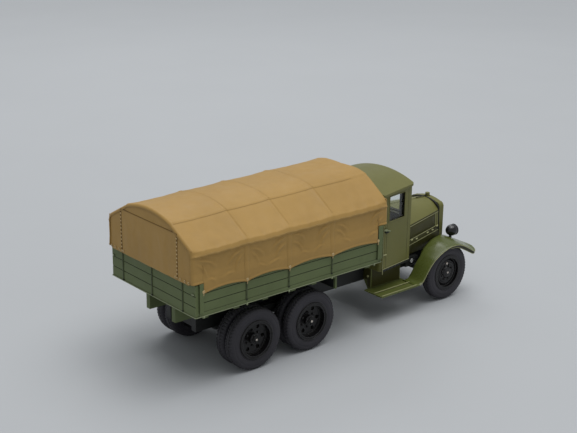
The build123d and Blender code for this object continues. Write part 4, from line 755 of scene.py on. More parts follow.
@dataclass
class Tilt:
    """The moulded cover over the load bed: a sleeve over hoops, with a laced flap behind."""

    rear: float = -1.5
    front: float = 94.0
    half: float = 27.52
    lip_half: float = 27.8
    eave: float = 53.2
    lip_low: float = 52.55
    upper: Pair = (27.19, 54.6)
    shoulder: Pair = (14.0, 61.9)
    crest: float = 64.28
    top: float = 64.31
    hem: float = 38.2
    scallop: float = 1.2
    rear_hem: float = 41.7
    rear_notch: Pair = (3.25, 42.34)
    front_notch: Pair = (88.62, 45.14)
    hoops: tuple[float, ...] = (-0.4, 22.775, 42.817, 64.408, 92.9)
    ties: tuple[float, ...] = (3.22, 22.775, 42.817, 64.408, 88.68)
    lift: float = 1.4
    sag: float = 0.42
    round_end: float = 1.25
    wall: float = 0.42
    flap_half: float = 18.0
    flap_top: float = 59.0
    recess: float = 0.34
    lacing_stitches: int = 11
    rear_eyelets: tuple[float, ...] = (-25.0, -22.6, -19.8, -17.0, 17.0, 19.8, 22.6, 25.0)
    rear_creases: tuple[Triple, ...] = ((-12.0, 57.2, 0.45), (-6.5, 56.8, -0.3), (8.0, 57.0, 0.35), (13.0, 57.0, -0.5))
    thread_points: int = 150
    roof_thread: float = 0.085
    hoop_thread: float = 0.075
    wall_thread: float = 0.06
    seam_shift: float = 0.75
    wall_seam_shift: float = 1.05
    eave_bead: float = 0.11
    columns: int = 204
    rows: int = 196

    def __post_init__(self) -> None:
        """Work out the half section from the crest down to the top of the wall."""
        sy, sz = self.shoulder
        drop = self.crest - sz
        radius = (sy * sy + drop * drop) / (2.0 * drop)
        arc = [(radius * math.sin(t), self.crest - radius + radius * math.cos(t))
               for t in np.linspace(0.0, math.asin(sy / radius), 40)]
        keys = [*arc, self.upper, (self.lip_half, self.eave), (self.lip_half, self.lip_low),
                (self.half, self.lip_low - 0.35), (self.half, self.lip_low - 1.6)]
        steps = np.array(keys)
        run = np.concatenate([[0.0], np.cumsum(np.hypot(*np.diff(steps, axis=0).T))])
        self.run = np.linspace(0.0, run[-1], 900)
        self.crown_run = float(run[len(arc) - 1])
        raw = np.stack([np.interp(self.run, run, steps[:, i]) for i in (0, 1)])
        kernel = np.exp(-(np.arange(-12, 13) * (self.run[1] / 0.22)) ** 2)
        padded = np.concatenate([raw[:, 12:0:-1] * [[-1.0], [1.0]], raw, 2 * raw[:, -1:] - raw[:, -2:-14:-1]], axis=1)
        smooth = np.stack([np.convolve(line, kernel / kernel.sum(), "valid") for line in padded])
        self.section = smooth
        slope = np.gradient(smooth, axis=1)
        self.normal = np.stack([-slope[1], slope[0]]) / np.hypot(*slope)
        self.wall_top = float(smooth[1, -1])

    def build(self) -> None:
        """Build the sleeve, both ends and what is sewn to them."""
        self._sleeve()
        self._end(rear=True)
        self._end(rear=False)
        self._seams()
        self._eave_edge()
        self._lacing()
        self._eyelets()

    def _bay(self, x: np.ndarray) -> tuple[np.ndarray, np.ndarray]:
        """Find each point's bay between hoops.

        Args:
            x: Place along the truck.

        Returns:
            The bay's number and the share of the way through it.
        """
        hoops = np.array(self.hoops)
        bay = np.clip(np.searchsorted(hoops, x) - 1, 0, len(hoops) - 2)
        share = np.clip((x - hoops[bay]) / (hoops[bay + 1] - hoops[bay]), 0.0, 1.0)
        return bay, share

    def _shoulder_lift(self, x: np.ndarray, run: np.ndarray) -> np.ndarray:
        """Return how far the shoulders rise towards the front at each place."""
        bump = np.sin(math.pi * np.clip(run / 29.2, 0.0, 1.0)) ** 1.3
        return self.lift * (x - self.rear) / (self.front - self.rear) * bump

    def _hem_line(self, x: np.ndarray) -> np.ndarray:
        """Return the height of the scalloped hem at each x."""
        ties = np.array(self.ties)
        bay = np.clip(np.searchsorted(ties, x) - 1, 0, len(ties) - 2)
        share = np.clip((x - ties[bay]) / (ties[bay + 1] - ties[bay]), 0.0, 1.0)
        line = self.hem + self.scallop * np.sin(math.pi * share) ** 0.8
        line = np.where(x < self.rear_notch[0], self.rear_notch[1], line)
        return np.where(x > self.front_notch[0], self.front_notch[1], line)

    def _roof_lift(self, x: np.ndarray, run: np.ndarray, side: np.ndarray) -> np.ndarray:
        """Work out the relief of the roof.

        Args:
            x: Place along the truck.
            run: Distance from the crest along the section.
            side: 1 on the left, -1 on the right.

        Returns:
            The lift along the normal.
        """
        _, share = self._bay(x)
        hang = (4.0 * share * (1.0 - share)) ** 0.62
        crown = self.crown_run
        slope = np.clip((run - crown) / 15.0, 0.0, 1.0)
        weight = np.where(run < crown, 1.0, 1.0 - 0.55 * slope)
        lift = -self.sag * hang * weight
        dish = np.where(run < crown, 0.10 * np.sin(math.pi * np.clip(run / crown, 0, 1)) ** 2,
                        0.22 * np.sin(math.pi * slope) ** 2)
        lift = lift - dish * hang
        lift = lift + 0.16 * np.exp(-((run - crown) / 0.45) ** 2) - 0.08 * np.exp(-((run - crown - 1.2) / 0.5) ** 2)
        for hoop in self.hoops[1:-1]:
            lift = lift + 0.14 * np.exp(-((x - hoop) / 0.5) ** 2) - 0.05 * np.exp(-((x - hoop - 1.2) / 0.5) ** 2)
        ripple = np.sin(x * 0.83 + side * 1.7) * np.sin(run * 0.47 + x * 0.21 + side)
        return lift + 0.05 * ripple * hang

    def _wall_lift(self, x: np.ndarray, z: np.ndarray, hem: np.ndarray, side: float) -> np.ndarray:
        """Work out the relief of one side wall.

        Args:
            x: Place along the truck.
            z: Height of each point.
            hem: Height of the hem below each point.
            side: 1 for the left wall, -1 for the right.

        Returns:
            The lift outwards.
        """
        bay, share = self._bay(x)
        down = self.lip_low - z
        lift = -0.16 * (4.0 * share * (1.0 - share)) * np.clip(down / 4.0, 0.0, 1.0)
        for hoop in self.hoops[1:-1]:
            gap = np.abs(x - hoop)
            lift = lift + 0.17 * np.clip((0.95 - gap) / 0.3, 0.0, 1.0) - 0.06 * np.exp(-((gap - 1.25) / 0.3) ** 2)
        rng = random.Random(17 if side < 0 else 29)
        for number, hoop in enumerate(self.hoops[:-1]):
            inside = bay == number
            ahead = self.hoops[number + 1]
            for fold in self._folds(rng):
                lift = lift + np.where(inside, fold.lift(x - hoop, down), 0.0)
            for fold in self._folds(rng):
                lift = lift + np.where(inside, fold.lift(ahead - x, down), 0.0)
        for tie in self.ties:
            gap = np.hypot((x - tie) / 1.1, (z - hem - 0.8) / 1.0)
            lift = lift - 0.12 * np.exp(-gap ** 2)
            for lean in (-0.55, 0.5):
                line = (x - tie) - lean * (z - hem)
                lift = lift + 0.07 * np.exp(-(line / 0.45) ** 2) * np.exp(-((z - hem - 3.0) / 1.8) ** 2)
        bead = np.exp(-((z - hem - 0.28) / 0.3) ** 2)
        groove = np.exp(-((z - hem - 0.95) / 0.22) ** 2)
        low = np.clip((z - 42.4) / 0.8, 0.0, 1.0)
        soft = np.where(lift < 0.0, lift * (0.35 + 0.65 * low), lift)
        return np.clip(soft + 0.12 * bead - 0.07 * groove, -0.6, 0.28)

    def _folds(self, rng: random.Random) -> list[Fold]:
        """Draw the swags that hang from one hoop.

        Args:
            rng: The seeded source of small differences.

        Returns:
            The folds.
        """
        def near(value: float, spread: float) -> float:
            """Return a value near the given one."""
            return value + rng.uniform(-spread, spread)

        return [
            Fold((near(2.2, 0.5), near(1.6, 0.4)), (near(8.2, 1.2), near(5.6, 0.8)), near(-0.9, 0.3),
                 near(0.42, 0.06), near(0.50, 0.06)),
            Fold((near(2.0, 0.4), near(3.8, 0.6)), (near(5.8, 0.9), near(8.6, 0.9)), near(-0.7, 0.3),
                 near(0.38, 0.06), near(0.46, 0.06)),
            Fold((near(5.2, 0.8), near(8.9, 0.7)), (near(9.4, 0.9), near(10.6, 0.6)), near(-0.5, 0.2),
                 near(0.26, 0.05), near(0.42, 0.06)),
        ]

    def points(self, x: np.ndarray, run: np.ndarray, fall: np.ndarray, side: np.ndarray) -> np.ndarray:
        """Find points on the sleeve.

        Args:
            x: Place along the truck.
            run: Distance from the crest along the section.
            fall: 0 at the top of the wall, 1 at the hem.
            side: 1 on the left, -1 on the right.

        Returns:
            Rows of x, y and z in the tailgate's frame.
        """
        turn = float(self.run[-1])
        wave = self.eave_wave(x, side)
        eave_zone = np.clip((run - 26.0) / 2.5, 0.0, 1.0) * np.clip((turn - run) / 0.9, 0.0, 1.0)
        y, z = (np.interp(run, self.run, line) for line in self.section)
        ny, nz = (np.interp(run, self.run, line) for line in self.normal)
        hem = self._hem_line(x)
        z = z + (hem - self.wall_top) * fall + self._shoulder_lift(x, run) - wave * eave_zone
        near_end = np.clip(1.0 - np.minimum(x - self.rear, self.front - x) / 4.5, 0.0, 1.0)
        soft = np.exp(-((run - 30.3) / 1.6) ** 2) * near_end
        y, z = y - 0.62 * soft, z - 0.6 * soft
        y = y - 0.36 * np.clip((z - 43.0) / 3.0, 0.0, 1.0) * np.clip((self.lip_low - wave - z) / 0.6, 0.0, 1.0)
        lift = self._roof_lift(x, run, side) * np.clip((31.0 - run) / 2.5, 0.0, 1.0)
        for way in (-1.0, 1.0):
            wall = self._wall_lift(x, z, hem, way) * np.clip((z - self.lip_low + 0.2) / -0.8, 0.0, 1.0)
            lift = lift + np.where((side == way) & (run >= turn - 2.0), wall, 0.0)
        out = np.stack([np.clip((y - 12.0) / 15.0, 0.0, 1.0), np.clip((z - 50.0) / 6.0, 0.0, 1.0)])
        out = out / np.hypot(*out)
        tuck = self._tuck(x)
        y, z = (y + ny * lift - out[0] * tuck) * side, z + (nz * lift - out[1] * tuck) * (fall <= 0.0)
        return np.stack([x, y, np.minimum(z, self.top)], axis=1)

    def _tuck(self, x: np.ndarray) -> np.ndarray:
        """Work out how far the sleeve is drawn in at its rounded ends.

        Args:
            x: Place along the truck.

        Returns:
            The distance inwards.
        """
        tuck = np.zeros(x.shape)
        for end in (x - self.rear, self.front - x):
            near = np.clip(self.round_end - end, 0.0, self.round_end)
            tuck = tuck + self.round_end - np.sqrt(self.round_end ** 2 - near ** 2)
        return tuck

    def eave_wave(self, x: np.ndarray, side: np.ndarray) -> np.ndarray:
        """Return how far the eave sags at each place."""
        _, share = self._bay(x)
        return 0.30 * (4.0 * share * (1.0 - share)) + 0.08 * np.sin(x * 0.9 + side) + 0.05 * np.sin(x * 2.1)

    def _sleeve(self) -> None:
        """Build the roof and the two side walls as one skin with its thickness."""
        piece = Piece("tilt_cover")
        bmesh.ops.create_grid(piece.bm, x_segments=self.columns, y_segments=self.rows, size=0.5)
        flat = np.array([v.co[:] for v in piece.bm.verts])
        u, v = flat[:, 0] + 0.5, flat[:, 1] * 2.0
        ends = [0.0, 0.016, 0.058, 0.062, 0.938, 0.942, 0.984, 1.0]
        marks = [self.rear, self.rear + self.round_end, 3.2, 3.3, 88.57, 88.67, self.front - self.round_end, self.front]
        x = np.interp(u, ends, marks)
        side = np.where(v < 0.0, -1.0, 1.0)
        depth = np.abs(v)
        turn = float(self.run[-1])
        run = np.interp(depth, [0.0, 0.24, 0.50, 0.66, 1.0], [0.0, 14.25, 29.2, turn, turn])
        fall = np.clip((depth - 0.66) / 0.34, 0.0, 1.0)
        for vert, place in zip(piece.bm.verts, self.points(x, run, fall, side)):
            vert.co = at(*place)
        piece.face_towards((0.0, -1.0, 0.0))
        piece.place(Body.TRUCK, Slot.TILT, Finishes.TILT, ("tilt",), crease=60.0, wall=self.wall)

    def _line(self, x: object, run: object, fall: object) -> list[Vector]:
        """Draw a line on the right half of the sleeve.

        Args:
            x: Place along the truck, one number or an array.
            run: Distance from the crest along the section, likewise.
            fall: 0 at the top of the wall, 1 at the hem, likewise.

        Returns:
            The line's points in the part's frame.
        """
        spread = [np.broadcast_to(value, self.thread_points).astype(float) for value in (x, run, fall)]
        return [at(*place) for place in self.points(*spread, np.full(self.thread_points, -1.0))]

    def _seams(self) -> None:
        """Build the stitched seams along the shoulders, over the hoops and down the walls."""
        piece = Piece("tilt_stitching")
        count = self.thread_points
        along = np.linspace(self.rear + 1.2, self.front - 9.0, count)
        piece.tube(self._line(along, self.crown_run + self.seam_shift, 0.0), self.roof_thread, sides=5)
        for hoop in self.hoops[1:-1]:
            across = np.linspace(0.0, 28.0, count)
            piece.tube(self._line(hoop + self.seam_shift, across, 0.0), self.hoop_thread, sides=5)
            down = np.linspace(0.12, 0.93, count)
            for shift in (-self.wall_seam_shift, self.wall_seam_shift):
                piece.tube(self._line(hoop + shift, float(self.run[-1]), down), self.wall_thread, sides=5)
        piece.both_sides()
        piece.place(Body.TRUCK, Slot.TILT, Finishes.STITCH)

    def _eave_edge(self) -> None:
        """Build the bead along the eave, painted lighter than the cloth as the eave's highlight."""
        piece = Piece("eave_edge")
        along = np.linspace(self.rear + 0.9, self.front - 0.9, self.thread_points)
        edge = float(self.run[int(np.argmax(self.section[0]))]) - 0.25
        inwards = Vector((0.0, 0.1 * MM, 0.0))
        piece.tube([point + inwards for point in self._line(along, edge, 0.0)], self.eave_bead, sides=6)
        piece.both_sides()
        piece.place(Body.TRUCK, Slot.TILT, Finishes.SEAM)

    def arch(self, y: np.ndarray, inset: float, x: float) -> np.ndarray:
        """Return the height of the section at each y of a station, drawn in by the inset."""
        run = np.interp(np.abs(y) + inset * 0.45, self.section[0, :700], self.run[:700])
        return np.interp(run, self.run, self.section[1]) + self._shoulder_lift(np.full(y.shape, x), run) - inset

    def _flap_lift(self, y: np.ndarray, z: np.ndarray) -> np.ndarray:
        """Work out the relief of the rear flap and its creases.

        Args:
            y: Place across the truck.
            z: Height of each point.

        Returns:
            The lift rearwards.
        """
        edge = np.abs(np.abs(y) - self.flap_half)
        below = np.clip((self.flap_top + 0.3 - z) / 0.4, 0.0, 1.0)
        lift = 0.12 * np.clip((self.flap_half - np.abs(y)) / 0.4, 0.0, 1.0) * below
        lift = lift - 0.10 * np.exp(-(edge / 0.4) ** 2) * below
        ripple = np.sin(y * 0.62 + 0.5) * 0.05 + np.sin(y * 1.31 + 2.0) * 0.03
        lift = lift + ripple * np.clip((self.flap_top - z) / 6.0, 0.0, 1.0)
        for crease_y, crease_z, lean in self.rear_creases:
            line = (y - crease_y) - lean * (crease_z - z)
            lift = lift + 0.10 * np.exp(-(line / 0.7) ** 2) * np.exp(-((z - crease_z + 4.0) / 3.0) ** 2)
        return lift

    def _end(self, rear: bool) -> None:
        """Build the cloth that closes one end.

        Args:
            rear: True for the rear end with its laced flap, False for the plain front end.
        """
        piece = Piece("tilt_rear_cloth" if rear else "tilt_front_cloth")
        bmesh.ops.create_grid(piece.bm, x_segments=150, y_segments=64, size=0.5)
        flat = np.array([v.co[:] for v in piece.bm.verts])
        y = flat[:, 0] * 2.0 * (self.half - 1.1)
        low = np.where(np.abs(y) > 25.3, self.rear_notch[1], self.rear_hem) if rear else self.front_notch[1] + 0 * y
        top = self.arch(y, 0.62, self.rear if rear else self.front)
        top = top - 0.75 * np.clip((np.abs(y) - 21.5) / 4.5, 0.0, 1.0)
        share = flat[:, 1] + 0.5
        z = low + share * (top - low)
        lift = 0.10 * np.sin(math.pi * share) * np.cos(y / self.half * 1.5)
        if rear:
            lift = lift + self._flap_lift(y, z)
        bead = np.exp(-((z - low - 0.3) / 0.35) ** 2)
        lift = np.clip(lift + 0.1 * bead, -0.15, 0.3)
        x = self.rear + self.recess - lift if rear else self.front - self.recess + lift
        for vert, place in zip(piece.bm.verts, np.stack([x, y, z], axis=1)):
            vert.co = at(*place)
        piece.face_towards((-1.0 if rear else 1.0, 0.0, 0.0))
        piece.place(Body.TRUCK, Slot.TILT, Finishes.TILT, crease=60.0, wall=self.wall)

    def _lacing(self) -> None:
        """Build the cord stitched down both edges of the flap, its eyelets and the dark seam line round it, which
        paints the shade along the flap's edges.
        """
        piece = Piece("flap_lacing")
        face = self.rear + self.recess - 0.17
        pitch = (self.flap_top - self.rear_hem - 1.2) / self.lacing_stitches
        for side in Side:
            for k in range(self.lacing_stitches):
                z = self.rear_hem + 1.0 + k * pitch
                piece.ball(at(face, side * self.flap_half, z), (0.16, 0.44, 0.36), segments=8)
        for y in self.rear_eyelets:
            piece.ring(at(face, y, self.rear_hem + 1.0), (1.0, 0.0, 0.0), 0.36, 0.16, steps=16, sides=6)
        piece.place(Body.TRUCK, Slot.TILT, Finishes.CORD)
        # The dark line round the flap paints the shade along its edges.
        seam = Piece("flap_shade_line")
        across = np.linspace(-self.flap_half, self.flap_half, 40)
        seam.tube([at(face + 0.04, y, self.flap_top + 0.1) for y in across], 0.15, sides=6)
        up = np.linspace(self.rear_hem + 0.5, self.flap_top, 20)
        for side in Side:
            seam.tube([at(face + 0.07, side * (self.flap_half + 0.1), z) for z in up], 0.17, sides=6)
        seam.place(Body.TRUCK, Slot.TILT, Finishes.FLAP_SHADE_LINE)

    def _eyelets(self) -> None:
        """Build the eyelets along the side hems and the short cord that ties each one down."""
        piece = Piece("hem_eyelets")
        for tie in self.ties:
            z = self.hem + 0.95
            y = -(self.half + 0.06)
            piece.ring(at(tie, y, z), (0.0, 1.0, 0.0), 0.42, 0.2, steps=18, sides=8)
            piece.ball(at(tie, y, z), (0.3, 0.2, 0.3), segments=10)
            cord = [at(tie, y, z - 0.3), at(tie + 0.05, y - 0.02, z - 1.0), at(tie, y + 0.1, z - 1.7)]
            piece.tube(cord, 0.16, sides=6)
        piece.both_sides()
        piece.place(Body.TRUCK, Slot.TILT, Finishes.CORD)


@dataclass
class LoadBed:
    """Fittings on the load bed's boards."""

    length: float = 91.1
    half: float = 27.0
    floor_half: float = 27.2
    straps: tuple[float, ...] = (22.775, 42.817, 64.408)
    strap_proud: float = 0.22
    strap_line: float = 0.28
    tail_straps: tuple[float, ...] = (-19.4, 0.0, 19.4)
    floor_top: float = 31.2
    floor_low: float = 29.6
    hem: float = 38.0
    rear_hem: float = 41.5
    planks: tuple[float, ...] = (33.2, 36.4)
    knobs: tuple[float, ...] = (3.4, 22.8, 42.8, 64.4, 87.0)
    latch: Pair = (25.9, 38.3)

    def build(self) -> None:
        """Build the strap lines, hinge feet, sill beads and rope hooks."""
        self._straps()
        self._sills()
        self._hooks()

    def _straps(self) -> None:
        """Build the dark line down each strap with its foot and bolts."""
        piece = Piece("strap_lines")
        face = self.half + self.strap_proud
        tall, middle = self.hem - self.floor_top, (self.floor_top + self.hem) / 2
        for x in self.straps:
            piece.box(at(x, -face, middle), (self.strap_line, 0.16, tall), 0.04)
            piece.rod(at(x, -face, self.floor_top - 0.1), (1.0, 0.0, 0.0), 0.26, 0.8, 12, 0.08)
            for z in self.planks:
                piece.ball(at(x, -face, z), (0.26, 0.2, 0.26), segments=10)
        piece.both_sides()
        for y in self.tail_straps:
            height = self.rear_hem - self.floor_low - 0.4
            piece.box(at(-self.strap_proud, y, self.rear_hem - height / 2), (0.16, self.strap_line, height), 0.04)
            piece.rod(at(-self.strap_proud, y, self.floor_low + 0.5), (0.0, 1.0, 0.0), 0.26, 0.8, 12, 0.08)
        piece.place(Body.TRUCK, Slot.BED, Finishes.STRAP)

    def _sills(self) -> None:
        """Build the bead along the foot of the boards, painted lighter than the boards as its highlight."""
        piece = Piece("sill_beads")
        z = self.floor_low + 0.12
        piece.box(at(self.length / 2, -self.floor_half - 0.06, z), (self.length, 0.3, 0.34), 0.1)
        piece.both_sides()
        piece.box(at(-0.14, 0.0, z), (0.4, 2 * self.floor_half, 0.34), 0.1)
        piece.place(Body.TRUCK, Slot.BED, Finishes.SAGE_HIGHLIGHT)

    def _hooks(self) -> None:
        """Build the rope hooks under the sill and the tailgate's latches, painted lighter as their highlights."""
        piece = Piece("rope_hooks")
        for x in self.knobs:
            piece.rod(at(x, -self.floor_half, self.floor_low + 0.1), (0.0, 1.0, 0.0), 0.3, 0.6, 12, 0.08)
            piece.ball(at(x, -self.floor_half - 0.14, self.floor_low - 0.25), (0.42, 0.4, 0.42), segments=12)
        piece.both_sides()
        y, z = self.latch
        for side in Side:
            piece.box(at(-0.12, side * y, z), (0.4, 1.2, 0.6), 0.14)
            piece.ball(at(-0.26, side * (y - 0.5), z), (0.26, 0.3, 0.4), segments=10)
        piece.place(Body.TRUCK, Slot.BED, Finishes.SAGE_HIGHLIGHT)


@dataclass
class Tyre:
    """One rubber tyre: ringed sidewalls and a lugged tread."""

    steps: int = 168
    lug_every: int = 3
    lug_depth: float = 0.30
    lug_start: float = 11.45
    rib_half: float = 0.6
    half_profile: tuple[Pair, ...] = (
        (7.42, -1.7), (7.6, -2.02), (8.05, -2.22), (8.3, -2.12), (8.5, -2.26), (9.4, -2.38), (10.1, -2.38),
        (10.3, -2.28), (10.5, -2.35), (11.1, -2.22), (11.5, -2.05), (11.75, -1.86), (11.98, -1.6), (12.1, -1.2),
        (12.15, -0.66), (11.92, -0.6), (11.92, -0.44), (12.16, -0.38), (12.18, 0.0),
    )

    def add(self, piece: Piece, centre: Vector) -> None:
        """Turn the tyre about its axle and cut its lugs.

        Args:
            piece: The piece that it becomes part of.
            centre: Its middle, in the part's frame.
        """
        other = [(r, -w) for r, w in reversed(self.half_profile[:-1])]
        profile = [*self.half_profile, *other, self.half_profile[0]]
        for vert in piece.lathe(centre, (0.0, 1.0, 0.0), profile, self.steps):
            away = vert.co - centre
            radius = math.hypot(away.x, away.z) / MM
            place = round(math.atan2(away.z, away.x) / (2.0 * math.pi) * self.steps)
            if radius > self.lug_start and abs(away.y) > self.rib_half * MM and place % self.lug_every == 0:
                squeeze = self.lug_depth / radius
                vert.co -= Vector((away.x * squeeze, 0.0, away.z * squeeze))


@dataclass
class Axle:
    """One wheelset: its tyres, and what is bolted to its wheels."""

    name: str
    body: Body
    x: float
    faces: tuple[float, ...]
    nuts: int
    ringed: bool = False
    z: float = 12.2
    tyre_half: float = 2.4
    disc: tuple[Pair, ...] = (
        (7.3, -1.3), (7.1, -0.8), (6.85, -0.75), (6.6, -1.3), (6.2, -1.55), (5.8, -1.35), (5.45, -1.3), (5.2, -1.05),
        (4.7, -1.0), (4.45, -0.75), (3.9, -0.7), (3.6, -0.9), (2.7, -0.9), (2.5, -0.6), (2.2, -0.3), (1.6, -0.25),
        (1.45, -0.1), (0.0, -0.05),
    )
    nut_circle: float = 3.05
    ringed_nut_circle: float = 3.15
    drum_radius: float = 5.7

    def build(self) -> None:
        """Build the tyres, hubs and drums."""
        rubber = Piece(f"{self.name}_rubber")
        for side in Side:
            for face in self.faces:
                Tyre().add(rubber, at(self.x, side * (face - self.tyre_half), self.z))
        rubber.place(self.body, Slot.TYRE, Finishes.TYRE, (f"{self.name}_tyres",), crease=32.0)
        hubs = Piece(f"{self.name}_hubs")
        probe = Probe(f"{self.name}_wheels")
        ends = Piece(f"{self.name}_hub_ends")
        for side in Side:
            if self.ringed:
                self._ringed_disc(hubs, ends, side)
            else:
                self._hub(hubs, probe, side)
                face = self._face(probe, side, 0.05, 0.0, True)
                middle = at(self.x, face.y / MM + side * 0.45, self.z)
                # The hub end's light bronze also paints the hub's glint.
                ends.rod(middle, (0.0, float(side), 0.0), 0.55, 0.5, 6, 0.12)
        hubs.place(self.body, Slot.WHEEL, Finishes.WHEEL)
        ends.place(self.body, Slot.STEEL, Finishes.HUB_HIGHLIGHT)

    def _ringed_disc(self, piece: Piece, ends: Piece, side: Side) -> None:
        """Build one bulging disc with its rings, nuts and hub.

        Args:
            piece: The piece that the disc and the nuts become part of.
            ends: The piece that the bright hub becomes part of; its light bronze also paints the hub's highlights.
            side: Which wheel.
        """
        axis = (0.0, float(side), 0.0)
        face = at(self.x, side * (self.faces[0] - 0.02), self.z)
        piece.lathe(face, axis, [*self.disc], 72)
        for k in range(self.nuts):
            turn = (k + 0.5) * 2.0 * math.pi / self.nuts
            away = self.ringed_nut_circle
            seat = face + Vector((away * math.cos(turn), -side * 0.75, away * math.sin(turn))) * MM
            piece.rod(seat, axis, 0.42, 0.7, 6, 0.08)
        # The hub and the small ball above it take the light bronze that also paints the hub's glints.
        ends.ball(face - Vector((0.0, side * 0.5 * MM, 0.0)), (1.5, 0.46, 1.5), segments=24)
        ends.ball(face + Vector((-0.4, -side * 0.7, 4.1)) * MM, (0.62, 0.6, 0.62), segments=14)

    def _face(self, probe: Probe, side: Side, radius: float, turn: float, outside: bool) -> Vector:
        """Find the wheel disc's surface.

        Args:
            probe: The wheels' surface.
            side: Which wheel.
            radius: Distance from the axle.
            turn: Angle round it.
            outside: True for the outer face, False for the inner one.

        Returns:
            The point on the face.
        """
        x, z = self.x + radius * math.cos(turn), self.z + radius * math.sin(turn)
        start = at(x, side * 40.0, z) if outside else at(x, side * 14.0, z)
        found = probe.hit(start, (0.0, -side if outside else side, 0.0))
        return found if found is not None else at(x, side * (self.faces[0] - 2.0), z)

    def _hub(self, piece: Piece, probe: Probe, side: Side) -> None:
        """Build one hub with its nuts, rings and drum.

        Args:
            piece: The piece that it becomes part of.
            probe: The wheels' surface.
            side: Which wheel.
        """
        axis = (0.0, float(side), 0.0)
        for k in range(self.nuts):
            turn = (k + 0.5) * 2.0 * math.pi / self.nuts
            seat = self._face(probe, side, self.nut_circle, turn, True)
            piece.rod(seat + Vector((0.0, side * 0.22 * MM, 0.0)), axis, 0.46, 0.6, 6, 0.06)
            piece.rod(seat + Vector((0.0, side * 0.55 * MM, 0.0)), axis, 0.2, 0.5, 8, 0.05)
        middle = self._face(probe, side, 0.05, 0.0, True)
        middle = at(self.x, middle.y / MM, self.z)
        piece.lathe(middle, axis, [(0.0, 0.55), (0.5, 0.5), (0.85, 0.3), (0.98, 0.0), (0.98, -0.3)], 24)
        for radius, thickness in ((1.7, 0.16), (6.0, 0.14)):
            ring_face = self._face(probe, side, radius, 0.3, True)
            piece.ring(at(self.x, ring_face.y / MM, self.z), axis, radius, thickness, 48, 6)
        for k in range(8):
            turn = (k + 0.25) * math.pi / 4
            seat = self._face(probe, side, 1.62, turn, True)
            piece.rod(seat, axis, 0.2, 0.5, 6, 0.04)
        rim = self._face(probe, side, 6.9, 0.3, True)
        piece.ring(at(self.x, rim.y / MM, self.z), axis, 7.42, 0.26, 72, 8)
        back = self._face(probe, side, self.drum_radius - 0.1, 0.4, False)
        piece.rod(at(self.x, back.y / MM - side * 0.62, self.z), axis, self.drum_radius, 1.1, 40, 0.2)


